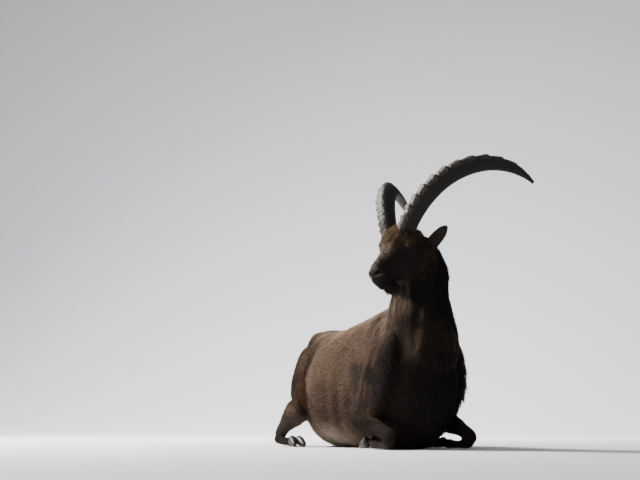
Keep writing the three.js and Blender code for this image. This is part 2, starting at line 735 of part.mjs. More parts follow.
function tailLocks() {
  const locks = [];
  for (let i = 0; i < TAIL_LOCKS.count; i++) {
    const spot = i / (TAIL_LOCKS.count - 1) - 0.5;
    const [x, y, z] = between(TAIL, "at", 0.55 + 0.35 * Math.cos(Math.PI * spot));
    locks.push(
      lock({
        root: new THREE.Vector3(x + spot * TAIL_LOCKS.spread, y, z),
        grow: new THREE.Vector3(spot * 0.5, 0.15, -1),
        lie: new THREE.Vector3(spot * 0.3, -0.15, -1),
        face: new THREE.Vector3(0, 1, 0),
        length: TAIL_LOCKS.length * (1 - 0.6 * Math.abs(spot)),
        wide: TAIL_LOCKS.wide,
        thick: TAIL_LOCKS.thick,
      }),
    );
  }
  return locks;
}

// Frames: groups of the scene that pieces are placed in

function frame(parent, at, turn = new THREE.Matrix4()) {
  const group = new THREE.Group();
  group.position.copy(at);
  group.rotation.setFromRotationMatrix(turn);
  parent.add(group);
  group.updateWorldMatrix(true, false);
  return group;
}

const ibex = new THREE.Group();

const headTurn = new THREE.Euler(rad(HEAD_ROLLS), rad(HEAD_NODS), rad(-90 - HEAD_FACES), "ZYX");
const headFrame = frame(ibex, vector(HEAD_AT), new THREE.Matrix4().makeRotationFromEuler(headTurn));

// Pieces: each is cut by the pieces made before it, so the earlier ones keep their shape

const pieces = [];

function add(name, home, forms, colour, cuts = []) {
  const inBody = (geometry) => onTheFloor(bare(geometry).applyMatrix4(home.matrixWorld));
  const shapes = forms.map(inBody);
  let form = joined(shapes);
  for (const cut of cuts) form = form.subtract(solid(inBody(cut)));
  const reach = form.boundingBox();
  for (const earlier of pieces) {
    if (!apart(reach, earlier.reach)) form = form.subtract(earlier.cutter);
  }
  const cutter = joined(shapes.map(swollen));
  pieces.push({ cutter, reach: cutter.boundingBox() });

  const geometry = geometryOf(largest(form)).applyMatrix4(home.matrixWorld.clone().invert());
  geometry.computeVertexNormals();
  const material = new THREE.MeshStandardMaterial({ color: colour, ...FINISH });
  const mesh = new THREE.Mesh(geometry, material);
  mesh.name = name;
  home.add(mesh);
}

function apart(a, b) {
  return [0, 1, 2].some((n) => a.min[n] > b.max[n] || b.min[n] > a.max[n]);
}

const SIDES = [
  ["left", LEFT],
  ["right", RIGHT],
];

for (const [word, side] of SIDES) add("eye_" + word, headFrame, [eyeball(side)], COLOURS.eye);

const openings = SIDES.flatMap(([, side]) => [lidOpening(side), nostril(side)]);
const lids = SIDES.map(([, side]) => eyeball(side, LID));
add("head", headFrame, [skull(), ...lids, ...beard()], COLOURS.face, [...openings, mouthLine()]);
add("torso", ibex, [trunk(), shoulder(LEFT), shoulder(RIGHT)], COLOURS.coat);
add("neck", ibex, [neck()], COLOURS.mane);

for (const [word, side] of SIDES) {
  add("horn_" + word, hornFrame(headFrame, word, side), [horn(word, side)], COLOURS.horn);
  add("ear_" + word, earFrame(headFrame, word, side), [ear()], COLOURS.face);

  const fore = frame(ibex, new THREE.Vector3(0, staggered(side, "fore"), 0));
  const foreFoot = [limb(FORE_CANNON, side, 9), ...dewClaws(FORE_HOOF, "fore", side)];
  add("foreleg_upper_" + word, fore, [limb(FOREARM, side, 11)], COLOURS.legs);
  add("foreleg_lower_" + word, fore, foreFoot, COLOURS.legs);

  const hind = frame(ibex, new THREE.Vector3(0, staggered(side, "hind"), 0));
  const hindFoot = [limb(HIND_CANNON, side, 10), ...dewClaws(HIND_HOOF, "hind", side)];
  add("hindleg_thigh_" + word, hind, [limb(THIGH, side, 10)], COLOURS.coat);
  add("hindleg_shank_" + word, hind, [limb(SHANK, side, 10)], COLOURS.legs);
  add("hindleg_lower_" + word, hind, hindFoot, COLOURS.legs);

  for (const [end, leg, hoof] of [
    ["fore", fore, FORE_HOOF],
    ["hind", hind, HIND_HOOF],
  ]) {
    const foot = hoofFrame(leg, hoof, side);
    const outwards = Math.sign(foot.matrix.elements[0]) * side;
    for (const [toe, way] of [
      ["outer", outwards],
      ["inner", -outwards],
    ]) {
      const turn = new THREE.Matrix4().makeRotationZ(rad(-way * CLAW.splay));
      const place = frame(foot, new THREE.Vector3(way * CLAW.apart, 0, 0), turn);
      add(`hoof_${end}_${word}_${toe}`, place, [claw()], COLOURS.hoof);
    }
  }
}
add("tail", ibex, [limb(TAIL, LEFT, 7, 9), ...tailLocks()], COLOURS.legs);

// The origin moves to the middle of the part's footprint.
const centre = new THREE.Box3().setFromObject(ibex, true).getCenter(new THREE.Vector3());
ibex.position.set(-centre.x, -centre.y, 0);

export default ibex;
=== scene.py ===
import math

import bpy
import numpy as np
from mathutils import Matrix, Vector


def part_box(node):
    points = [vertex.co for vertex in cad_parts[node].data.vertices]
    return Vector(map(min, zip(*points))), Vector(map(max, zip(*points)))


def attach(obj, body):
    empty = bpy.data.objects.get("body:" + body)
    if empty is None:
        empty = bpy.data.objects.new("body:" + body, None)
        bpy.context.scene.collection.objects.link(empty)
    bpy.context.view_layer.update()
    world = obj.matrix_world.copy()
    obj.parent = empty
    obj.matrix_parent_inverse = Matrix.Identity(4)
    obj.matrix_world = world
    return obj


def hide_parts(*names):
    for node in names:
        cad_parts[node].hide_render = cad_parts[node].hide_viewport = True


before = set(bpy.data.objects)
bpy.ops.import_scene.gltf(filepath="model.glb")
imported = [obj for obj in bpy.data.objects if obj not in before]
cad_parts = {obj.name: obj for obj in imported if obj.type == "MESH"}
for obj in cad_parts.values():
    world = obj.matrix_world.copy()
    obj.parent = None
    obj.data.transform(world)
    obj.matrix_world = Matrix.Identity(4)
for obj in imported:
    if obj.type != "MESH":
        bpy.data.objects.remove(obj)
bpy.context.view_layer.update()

bl_info = {
    "name": "Alpine ibex at rest",
    "version": (1, 0, 0),
    "blender": (4, 5, 0),
    "location": "3D View > Sidebar > Ibex",
    "description": "Hide, coat, horns, eyes and hooves of a lying male alpine ibex, over its solids",
    "category": "Object",
}

MM = 0.001
PI = math.pi

# The photograph in pixels: its size, the focal length and where the floor point under the withers lies
PHOTO = {"wide": 640, "high": 480, "focal": 1750.0, "withers": (396, 410.5)}
SENSOR = 36
# The level directions in which the camera looks and that lie to its right
AHEAD = np.array([0.454, 0.891, 0.0])
RIGHT = np.array([0.891, -0.454, 0.0])

# The body's sizes, in millimetres, in a frame whose origin is the floor point under the withers.
# Trunk, breast to rump: place along the back, top line, under line, half width, height of the widest line
TRUNK = [
    (-316, 292, 196, 30, 244), (-302, 346, 128, 76, 244), (-264, 404, 56, 114, 238),
    (-205, 452, 14, 136, 230), (-118, 494, -10, 150, 224), (-28, 520, -14, 160, 220),
    (65, 514, -14, 178, 210), (177, 492, -12, 204, 196), (288, 470, -12, 224, 186),
    (388, 458, -10, 222, 190), (474, 457, -6, 184, 208), (548, 462, 4, 148, 236),
    (618, 452, 30, 130, 260), (676, 416, 72, 100, 262), (710, 366, 128, 60, 256),
    (720, 328, 178, 28, 250),
]
SPINE_SWAY = 12
TRUNK_BOXY = 2.25
# Swellings: place, reach, push; each has its mirror image on the other side
TRUNK_SWELLINGS = {
    "withers": ((10, -20, 520), 70, (-4, 0, 8)),
    "point of the hip": ((112, 468, 430), 52, (9, 0, 9)),
    "flank hollow": ((186, 424, 330), 70, (-17, 0, -2)),
    "rib arch": ((214, 262, 236), 100, (10, 0, 4)),
    "hollow behind the shoulder": ((150, 92, 410), 70, (-8, 0, -3)),
    "croup": ((56, 588, 452), 60, (3, 0, 8)),
    "upper edge of the rump": ((76, 600, 440), 40, (4, 2, 12)),
}
# Limbs and other paths: centre x, y, z, half width across, half depth
SHOULDER = [
    (92, -92, 420, 22, 64), (108, -126, 388, 35, 102), (125, -144, 334, 44, 118), (138, -146, 250, 48, 108),
    (148, -94, 160, 44, 80), (150, -22, 122, 34, 52),
]
SHOULDER_BOXY = 2.6
# Neck: centre, half width, half depth, share of the head's turn
NECK = [
    (10, -126, 350, 134, 196, 0), (14, -184, 418, 131, 186, 0.02), (8, -194, 488, 122, 155, 0.1),
    (3, -192, 552, 111, 132, 0.3), (-1, -199, 614, 102, 106, 0.6), (-8, -207, 668, 93, 87, 0.88),
    (-18, -213, 712, 79, 71, 1), (-28, -217, 746, 56, 52, 1), (-38, -220, 768, 22, 24, 1),
]
NECK_TILT = (40, 20)
# Head: place along its axis, top, bottom, half width, height of the widest line
HEAD = [
    (-8, 32, -52, 26, -10), (6, 58, -77, 54, -8), (36, 77, -96, 69, -2), (69, 87, -104, 71, 4),
    (102, 90, -102, 70, 12), (133, 77, -94, 62, 15), (164, 62, -85, 49, 8), (198, 47, -76, 38, 0),
    (230, 37, -69, 32, -8), (258, 30, -68, 30, -15), (281, 21, -69, 30, -18), (299, 8, -61, 24, -21),
    (307, -5, -47, 12, -23), (309, -16, -34, 5, -23),
]
HEAD_BOXY = 2.3
HEAD_AT = (-19, -197, 737)
HEAD_FACES = 60
HEAD_NODS = 22
HEAD_ROLLS = 9
HEAD_SWELLINGS = {
    "brow": ((114, 58, 51), 24, (0, 10, 6)),
    "orbit": ((124, 60, 26), 24, (0, 9, 0)),
    "cheek": ((64, 62, -36), 38, (0, 5, -2)),
    "horn base": ((84, 34, 72), 31, (2, 2, 10)),
    "nostril wing": ((292, 19, -8), 13, (3, 4, 1)),
    "upper lip": ((283, 24, -29), 15, (1, 4, -1)),
    "hollow under the eye": ((156, 54, 10), 25, (0, -5, 0)),
    "chin": ((274, 8, -65), 17, (4, 2, -8)),
}
EYE_AT = (126, 50, 30)
EYE_RADIUS = 16.5
EYE_LOOKS = (0.36, 0.9, 0.12)
LID = (14.0, 5.6, 4.6)
NOSTRIL_AT = (300, 14.5, -8)
MOUTH = {"from": 226, "to": 302, "corner": -42, "front": -24}
EAR_ROOT = (10, 56, -22)
EAR_ALONG = {"left": (0.06, 0.85, 0.52), "right": (-0.3, 0.85, 0.12)}
EAR_OPENS = (0.86, 0, 0)
EAR_LENGTH = 115
EAR_CUP = 23
EAR_WALL = 4.6
EAR_WRAP = 108
EAR_WIDTHS = (0.6, 0.8, 0.94, 1, 1, 0.97, 0.89, 0.74, 0.42)
HORN_ROOT = (89.5, 30.5, 59.5)
HORN_LENGTH = 659
# Each horn's curve in degrees, with the share of the bend left to its outer half and the twist of its front
HORN_CURVES = {
    "left": {"rise": 121.7, "bend": 114.5, "later": 0.21, "spread": 31.8, "lean": 11.6, "twist": 8},
    "right": {"rise": 129.9, "bend": 125.2, "later": 0.26, "spread": 24, "lean": 0.3, "twist": 27.7},
}
HORN_DEPTH = 34
HORN_WIDTH = 24.5
HORN_BACK = 0.75
HORN_BOXY = 0.6
HORN_TAPER = (0.94, 0.98, 1, 0.98, 0.95, 0.87, 0.72, 0.49, 0.18)
HORN_KNOBS = 12
HORN_KNOB = 7
FOREARM = [
    (140, 16, 140, 41, 56), (156, -42, 119, 43, 52), (163, -116, 95, 35, 41), (163, -182, 76, 27, 30),
    (159, -235, 61, 25, 27), (156, -271, 45, 27, 31), (154, -293, 35, 20, 21),
]
FORE_CANNON = [
    (154, -276, 22, 20, 19), (152, -242, 19, 19, 18), (149, -191, 18, 16, 16), (145, -142, 19, 20, 20),
    (142, -111, 22, 17, 16), (140, -87, 25, 19, 16),
]
THIGH = [
    (46, 612, 364, 52, 72), (72, 582, 332, 72, 98), (114, 520, 282, 76, 108), (166, 456, 236, 65, 95),
    (200, 404, 198, 50, 68), (209, 374, 177, 31, 41),
]
SHANK = [
    (204, 384, 160, 39, 54), (212, 426, 142, 42, 56), (212, 493, 112, 36, 44), (204, 564, 84, 26, 33),
    (196, 621, 61, 22, 30), (192, 658, 47, 20, 27),
]
HIND_CANNON = [
    (192, 670, 32, 20, 24), (196, 640, 25, 20, 22), (204, 577, 20, 17, 18), (212, 517, 19, 17, 18),
    (218, 480, 21, 21, 21), (223, 448, 25, 18, 17), (227, 424, 26, 19, 17),
]
FORE_HOOF = ((140, -85, 24), (-0.12, 0.98, -0.16), (0, 0.16, 0.98))
HIND_HOOF = ((227, 422, 24), (0.12, -0.98, -0.16), (0, -0.16, 0.98))
STAGGER = {"fore": 15, "hind": -9}
CLAW = {"length": 60, "wide": 14, "high": 20, "apart": 14, "splay": 5, "boxy": 2.4}
BEARD = {"from": 212, "to": 257, "half": 12, "sunk": 10, "length": 58, "wide": 2.8, "deep": 4}
TAIL = [
    (4, 668, 412, 24, 18), (4, 706, 396, 23, 16), (5, 731, 362, 21, 13), (6, 741, 322, 19, 11),
    (7, 742, 288, 11, 7),
]
SIDES = (("left", 1), ("right", -1))
# Rings along each form, and points round it
GRIDS = {
    "trunk": (90, 96), "neck": (44, 64), "head": (80, 72), "limb": (28, 24), "ear": (40, 22), "eye": (40, 56),
    "lid": (72, 8), "horn": (520, 72), "claw": (30, 32),
}
# Points along the middle of each form, by which the coat tells its regions apart
PATHS = {"trunk": 24, "neck": 16, "head": 20, "tail": 8, "leg": 14, "thigh": 10, "shoulder": 12}
REGION_EDGE = 9
LEAD_EDGE = 4
# Smoothing, pass by pass: the share of the way to the neighbours' mean
FILLET = (0.6,) * 58
EVEN = (0.6, -0.62) * 10
LOWEST = {"shell": 3, "hide": 0.5, "tuft": 0.0002}
# Hair in millimetres: each region's length, and what is added or taken off in part of it
HAIR = {
    "nose": 5, "cheek": 10, "nape": 7, "forehead": 6, "foot": 8, "leg": 10, "trunk": 23, "loin": -3,
    "breast": 10, "neck": 25, "throat": -7, "thigh": 24, "tail": 46,
}
CLUMP = {"cell": 17.0, "pull": 0.3, "warp": 6}
# A tuft: lift and random bend of its way, power of its rise, depth of its root, height of its ridge over its
# half width, tint at the root and what is added up to the tip, and size in the bake map
TUFT = {
    "lift": 0.02, "bend": 0.09, "rise": 0.7, "sunk": 0.12, "ridge": 0.8, "root": 0.62, "paler": 0.46,
    "patch": 0.003,
}
# Width along a tuft: places from root to tip, and the share of the full width at each
TUFT_TAPER = ((0, 0.35, 0.8, 1), (0.75, 1, 0.6, 0))
# Places of the rings along a tuft
RINGS = {"coat": (0, 0.5), "neck": (0, 0.4, 0.78), "beard": (0, 0.35, 0.7)}
# The hide's tint as a share of the tint of the tufts that grow from it
HIDE_SHADE = 0.8
# Seeds of the random draws, to which the horns and ears add their side's sign
SEEDS = {"coat": 20, "beard": 5, "horn": 8, "ear": 40}
BEARD_TUFTS = 1000
EAR_TUFTS = 2600
# The middle of the body over the floor point under the withers, in metres
MIDDLE = (0, 0.1, 0.45)
# Lamps that face the middle: metres right, ahead and up of it as the camera looks, side of the square, colour
LAMPS = {
    "key": ((-3.3, 1.05, 2.7), 1.3, (1.0, 0.95, 0.89)),
    "fill": ((-1.6, -3.8, 1.7), 2.8, (0.9, 0.95, 1.0)),
}
# The lamp over the sheet behind, with the place it faces, from the floor point under the withers
BACKDROP = {"at": (0, 2.4, 3.4), "aim": (0, 6.4, 1.2), "size": 3.0, "colour": (1, 1, 1)}
SKY_COLOUR = (0.86, 0.9, 0.96, 1)
# The floor sheet in metres: near and far end, half its width, where it starts to curve up and how strongly
FLOOR = {"near": -9, "far": 13, "half": 14, "flat": 4, "curl": 0.16, "rows": 40}
NO_QUADS = np.zeros((0, 4), int)
NO_TRIS = np.zeros((0, 3), int)


# Plain mathematics

def unit(vectors):
    """Each vector divided by its own length."""
    vectors = np.asarray(vectors, float)
    return vectors / np.maximum(np.linalg.norm(vectors, axis=-1, keepdims=True), 1e-12)


def spline(table, share):
    """Catmull-Rom curve through the rows of a table: share 0 is its first row and share 1 its last."""
    table = np.asarray(table, float)
    last = len(table) - 1
    place = np.clip(share, 0, 1) * last
    i = np.minimum(place.astype(int), last - 1)
    t = (place - i).reshape(place.shape + (1,) * (table.ndim - 1))
    p, q, r, s = (table[np.clip(i + k, 0, last)] for k in (-1, 0, 1, 2))
    return q + 0.5 * t * (r - p + t * (2 * p - 5 * q + 4 * r - s + t * (3 * (q - r) + s - p)))


def power(value, exponent):
    """The value raised to a power with its sign kept."""
    return np.sign(value) * np.abs(value) ** exponent


def step(low, high, value):
    """0 below low, 1 above high, and 3t^2 - 2t^3 between."""
    t = np.clip((value - low) / (high - low), 0, 1)
    return t * t * (3 - 2 * t)


def hump(value, middle, half):
    """exp(-((value - middle) / half)^2)."""
    return np.exp(-(((value - middle) / half) ** 2))


def ripple(points, size, seed, waves=9):
    """Smooth random field from -1 to 1: the mean of sine waves of one wavelength in random directions."""
    rng = np.random.default_rng(seed)
    ways = unit(rng.normal(size=(waves, 3))) * 2 * PI / size
    return np.sin(points @ ways.T + rng.uniform(0, 2 * PI, waves)).sum(1) / math.sqrt(waves * 0.9)


def about(axis, degrees):
    """Matrix that turns a vector about a unit axis: Rodrigues' formula."""
    x, y, z = axis
    a = math.radians(degrees)
    k = np.array([[0, -z, y], [z, 0, -x], [-y, x, 0]])
    return np.eye(3) + math.sin(a) * k + (1 - math.cos(a)) * k @ k


HEAD_TURN = about((0, 0, 1), -90 - HEAD_FACES) @ about((0, 1, 0), HEAD_NODS) @ about((1, 0, 0), HEAD_ROLLS)


def from_head(points):
    """Points of the head's frame, in millimetres, in the body's frame."""
    return np.asarray(points, float) @ HEAD_TURN.T + HEAD_AT


def to_head(points):
    """Points of the body's frame in the head's frame."""
    return (points - HEAD_AT) @ HEAD_TURN


def on_side(vector, sign):
    """A place or direction given for the left side, on the side that has this sign."""
    return np.array(vector) * (1, sign, 1)


def mirrored(points):
    """Points with those on the right side brought over to the left."""
    return np.stack([points[:, 0], np.abs(points[:, 1]), points[:, 2]], 1)


def origin_shift():
    """The floor point under the withers in the part's frame, found from where the left eye is."""
    low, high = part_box("eye_left")
    eye = (np.array(low) + np.array(high)) / 2
    shift = eye - from_head(EYE_AT) * MM
    return np.array([shift[0], shift[1], 0.0])


SHIFT = origin_shift()


def in_part(points):
    """Points of the body's frame, in millimetres, as metres in the part's frame."""
    return points * MM + SHIFT


def to_body(points):
    """Metres in the part's frame as millimetres in the body's frame."""
    return (points - SHIFT) / MM


def seen(right, ahead, up):
    """Metres to the right, ahead and up, as the camera looks, as a move in the part's frame."""
    right, ahead, up = (np.asarray(value, float)[..., None] for value in (right, ahead, up))
    return right * RIGHT + ahead * AHEAD + up * np.array([0, 0, 1.0])


# Surfaces

def rings(at, side, front, wide, deep, back=None, boxy=2.0, points=32):
    """Superellipse sections: at + side * wide * cos^(2 / boxy) + front * deep * sin^(2 / boxy).

    Where the sine is below 0, back takes the place of deep.
    """
    back = deep if back is None else back
    angle = np.arange(points) / points * 2 * PI
    c, s = power(np.cos(angle), 2 / boxy), power(np.sin(angle), 2 / boxy)
    along = np.where(s > 0, s * deep[:, None], s * back[:, None])
    return at[:, None] + side[:, None] * (c * wide[:, None])[..., None] + front[:, None] * along[..., None]


def swollen(points, swellings, sideways):
    """Adds push * exp(-(distance / reach)^2) for each swelling and for its mirror image."""
    for at, reach, push in swellings.values():
        for sign in (1, -1):
            centre, shift = np.array(at, float), np.array(push, float)
            centre[sideways] *= sign
            shift[sideways] *= sign
            far = ((points - centre) ** 2).sum(-1, keepdims=True)
            points = points + shift * np.exp(-far / reach**2)
    return points


def limb(rows, sign, shift, inset, boxy=2.0):
    """A profile of the table's half sizes carried square along the table's curve."""
    count, points = GRIDS["limb"]
    share = np.linspace(0, 1, count)
    rows = np.array(rows, float) * (sign, 1, 1, 1, 1) + (0, shift, 0, 0, 0)
    at = spline(rows[:, :3], share)
    tangent = unit(spline(rows[:, :3], share + 0.02) - spline(rows[:, :3], share - 0.02))
    front = unit(np.cross(tangent, (1, 0, 0)))
    across = np.cross(front, tangent)
    wide, deep = np.maximum(spline(rows[:, 3:], share) - inset, 4).T
    return rings(at, across, front, wide, deep, boxy=boxy, points=points)


def trunk(inset):
    """Boxy sections across the trunk along a back that sways to the left, with the swellings added."""
    count, points = GRIDS["trunk"]
    share = np.linspace(0, 1, count)
    y, top, bottom, half, mid = spline(TRUNK, share).T
    at = np.stack([SPINE_SWAY * np.sin(PI * share) ** 2, y * (1 - inset / 400), mid], 1)
    side, up = np.tile((1.0, 0, 0), (count, 1)), np.tile((0, 0, 1.0), (count, 1))
    wide, high, low = (np.maximum(v - inset, 5) for v in (half, top - mid, mid - bottom))
    return swollen(rings(at, side, up, wide, high, low, TRUNK_BOXY, points), TRUNK_SWELLINGS, 0)


def neck(inset):
    """Oval sections that rise from the breast and turn with the head."""
    count, points = GRIDS["neck"]
    share = np.linspace(0, 1, count)
    rows = spline(NECK, share)
    turn = np.radians(-HEAD_FACES * rows[:, 5])
    tilt = np.radians(NECK_TILT[0] + (NECK_TILT[1] - NECK_TILT[0]) * share)
    side = np.stack([np.cos(turn), np.sin(turn), 0 * turn], 1)
    front = np.stack([np.sin(turn) * np.cos(tilt), -np.cos(turn) * np.cos(tilt), -np.sin(tilt)], 1)
    wide, deep = np.maximum(rows[:, 3:5] - inset, 4).T
    return rings(rows[:, :3], side, front, wide, deep, points=points)


def head(inset):
    """The skull's sections in the head's frame, narrower to crown and jaw, with the swellings added."""
    count, points = GRIDS["head"]
    share = np.linspace(0, 1, count)
    x, top, bottom, half, mid = spline(HEAD, share).T
    angle = np.arange(points) / points * 2 * PI
    c, s = np.cos(angle), np.sin(angle)
    narrow = 1 - np.where(s > 0, 0.16, 0.3) * np.abs(s) ** 1.5
    wide = np.maximum(half - inset, 2)[:, None] * narrow * power(c, 2 / HEAD_BOXY)
    reach = np.where(s > 0, (top - mid - inset)[:, None], (mid - bottom - inset)[:, None])
    high = mid[:, None] + power(s, 2 / HEAD_BOXY) * np.maximum(reach, 2)
    along = np.broadcast_to(x[:, None], wide.shape)
    return swollen(np.stack([along, wide, high], -1), HEAD_SWELLINGS, 1)


# Meshes

def faces_of(grid):
    """Quads between the rings of a closed grid, and a fan of triangles over each end, with its pole last."""
    rows, points = grid.shape[:2]
    i = np.arange(rows - 1)[:, None] * points
    j, k = np.arange(points), (np.arange(points) + 1) % points
    quads = np.stack([i + j, i + k, i + points + k, i + points + j], -1).reshape(-1, 4)
    start, end = rows * points, rows * points + 1
    first = np.stack([k, j, np.full(points, start)], 1)
    final = np.stack([j, k, np.full(points, end)], 1) + [(rows - 1) * points, (rows - 1) * points, 0]
    verts = np.concatenate([grid.reshape(-1, 3), grid[0].mean(0)[None], grid[-1].mean(0)[None]])
    return verts, quads, np.concatenate([first, final])


def put(name, verts, quads, tris):
    """Makes a mesh from arrays of corners, four-sided faces and triangles."""
    mesh = bpy.data.meshes.new(name)
    mesh.vertices.add(len(verts))
    mesh.vertices.foreach_set("co", np.ascontiguousarray(verts, np.float32).ravel())
    corners = np.concatenate([np.ravel(quads), np.ravel(tris)]).astype(np.int32)
    mesh.loops.add(len(corners))
    mesh.loops.foreach_set("vertex_index", corners)
    mesh.polygons.add(len(quads) + len(tris))
    starts = np.concatenate([np.arange(len(quads)) * 4, len(quads) * 4 + np.arange(len(tris)) * 3])
    mesh.polygons.foreach_set("loop_start", starts.astype(np.int32))
    mesh.polygons.foreach_set("use_smooth", np.ones(len(mesh.polygons), bool))
    mesh.update(calc_edges=True)
    mesh.validate()
    return mesh


def outward(verts, quads, tris):
    """Turns all faces round if the volume under them comes out negative."""
    whole = np.concatenate([quads[:, [0, 1, 2]], quads[:, [0, 2, 3]], tris])
    a, b, c = (verts[whole[:, n]] for n in range(3))
    if np.einsum("ij,ij->", a, np.cross(b, c)) < 0:
        return quads[:, ::-1], tris[:, ::-1]
    return quads, tris


def solid(name, grid, lowest=-math.inf):
    """A closed mesh from a grid of the body's frame, with its faces outwards and nothing under a height."""
    verts, quads, tris = faces_of(grid)
    verts[:, 2] = np.maximum(verts[:, 2], lowest)
    return put(name, in_part(verts), *outward(verts, quads, tris))


def place(name, mesh, material, slot, nodes=()):
    """Adds a piece to the scene: it rides on the body, takes the material and stands for its nodes. The slot
    is not used.
    """
    piece = bpy.data.objects.new(name, mesh)
    bpy.context.scene.collection.objects.link(piece)
    mesh.materials.clear()
    mesh.materials.append(material)
    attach(piece, "root")
    if nodes:
        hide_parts(*nodes)
    return piece


def lay(mesh, name, kind, values):
    """Stores one value for each vertex of a mesh as a named attribute."""
    layer = mesh.attributes.new(name, kind, "POINT")
    key = {"FLOAT": "value", "FLOAT_VECTOR": "vector", "FLOAT_COLOR": "color"}[kind]
    layer.data.foreach_set(key, np.ascontiguousarray(values, np.float32).ravel())


def lay_tint(mesh, tint):
    """Stores a colour for each vertex."""
    lay(mesh, "tint", "FLOAT_COLOR", np.concatenate([tint, np.ones((len(tint), 1))], 1))


def lay_map(mesh, name, flat):
    """Makes a UV map from one place for each vertex."""
    layer = mesh.uv_layers.new(name=name)
    corner = np.empty(len(mesh.loops), np.int32)
    mesh.loops.foreach_get("vertex_index", corner)
    layer.data.foreach_set("uv", flat[corner].astype(np.float32).ravel())


def read(mesh, name, kind):
    """Reads back a value for each vertex of a mesh."""
    key, size = {"FLOAT": ("value", 1), "FLOAT_VECTOR": ("vector", 3), "FLOAT_COLOR": ("color", 4)}[kind]
    values = np.empty(len(mesh.vertices) * size, np.float32)
    mesh.attributes[name].data.foreach_get(key, values)
    return values.reshape(-1, size) if size > 1 else values


def corners_of(mesh):
    """A mesh's corner places and smooth normals."""
    co = np.empty(len(mesh.vertices) * 3, np.float32)
    mesh.vertices.foreach_get("co", co)
    normals = np.empty(len(mesh.vertices) * 3, np.float32)
    mesh.vertex_normals.foreach_get("vector", normals)
    return co.reshape(-1, 3).astype(float), normals.reshape(-1, 3).astype(float)


def move_corners(mesh, co):
    """Gives a mesh's corners new places."""
    mesh.vertices.foreach_set("co", co.astype(np.float32).ravel())
    mesh.update()


def smoothed(co, mesh, passes, weight):
    """Moves each corner a share of the way towards the mean of its neighbours, once for each share given."""
    ends = np.empty(len(mesh.edges) * 2, np.int32)
    mesh.edges.foreach_get("vertices", ends)
    a, b = ends.reshape(-1, 2).T
    count = np.bincount(a, minlength=len(co)) + np.bincount(b, minlength=len(co))
    count = np.maximum(count, 1)[:, None]
    for pull in passes:
        total = np.stack([
            np.bincount(a, co[b, n], len(co)) + np.bincount(b, co[a, n], len(co)) for n in range(3)
        ], 1)
        co = co + (total / count - co) * pull * weight[:, None]
    return co


# What lies where on the body

def path_of(rows, count, sign=1, shift=0):
    """Points along a table's curve, with the unit direction there and the mean half size."""
    share = np.linspace(0, 1, count)
    rows = np.array([row[:5] for row in rows], float) * (sign, 1, 1, 1, 1) + (0, shift, 0, 0, 0)
    at = spline(rows[:, :3], share)
    way = unit(np.gradient(at, axis=0))
    return at, way, spline(rows[:, 3:], share).mean(1)


def body_paths():
    """The paths that the hair follows: each has a region's name, points, directions and half sizes."""
    trunk_rows = [(0, y, mid, half, (top - bottom) / 2) for y, top, bottom, half, mid in TRUNK]
    paths = [("trunk", *path_of(trunk_rows, PATHS["trunk"]))]
    at, way, size = path_of(NECK, PATHS["neck"])
    paths.append(("neck", at, -way, size))
    head_rows = [(x, 0, (top + bottom) / 2, half, (top - bottom) / 2) for x, top, bottom, half, _ in HEAD]
    at, way, size = path_of(head_rows, PATHS["head"])
    paths.append(("head", from_head(at), -way @ HEAD_TURN.T, size))
    paths.append(("tail", *path_of(TAIL, PATHS["tail"])))
    for _, sign in SIDES:
        fore, hind = (STAGGER[end] * (sign < 0) for end in ("fore", "hind"))
        for rows, shift in ((FOREARM, fore), (FORE_CANNON, fore), (SHANK, hind), (HIND_CANNON, hind)):
            paths.append(("leg", *path_of(rows, PATHS["leg"], sign, shift)))
        paths.append(("thigh", *path_of(THIGH, PATHS["thigh"], sign, hind)))
        paths.append(("trunk", *path_of(SHOULDER, PATHS["shoulder"], sign, fore)))
    return paths


def regions(points):
    """Share of each region at each point, and the way the hair lies.

    Each path gives its least distance over its half size. The shares fall off with that ratio as
    exp(-REGION_EDGE * ratio), and the ways are blended more softly, with LEAD_EDGE.
    """
    shares, ways = {}, np.zeros_like(points)
    ratios, leads, names = [], [], []
    for name, at, way, size in body_paths():
        far = np.linalg.norm(points[:, None] - at[None], axis=2) / size
        best = far.argmin(1)
        ratios.append(far[np.arange(len(points)), best])
        leads.append(way[best])
        names.append(name)
    ratios = np.array(ratios)
    apart = ratios - ratios.min(0)
    weights = np.exp(-REGION_EDGE * apart)
    weights /= weights.sum(0)
    for name, weight, lead, soft in zip(names, weights, leads, np.exp(-LEAD_EDGE * apart)):
        shares[name] = shares.get(name, 0) + weight
        ways += lead * soft[:, None]
    return shares, unit(ways)


def in_surface(ways, normals):
    """Directions with the part along the normals taken off."""
    return ways - normals * (ways * normals).sum(1, keepdims=True)


def lie_of_hair(points, normals, shares, ways):
    """The hair's direction: along the paths, and drawn down on the sides of neck, trunk and thighs."""
    soft = shares["trunk"] + shares["neck"] + shares["thigh"]
    steep = 1 - np.abs(normals[:, 2])
    wave = 0.16 * ripple(points, 150, 3)
    down = (0.25 * shares["trunk"] + 0.5 * shares["neck"] + 0.5 * shares["thigh"]) * steep
    ways = ways + np.stack([wave * soft, 0 * wave, -down + 0.4 * wave * soft], 1)
    return unit(in_surface(ways, normals))


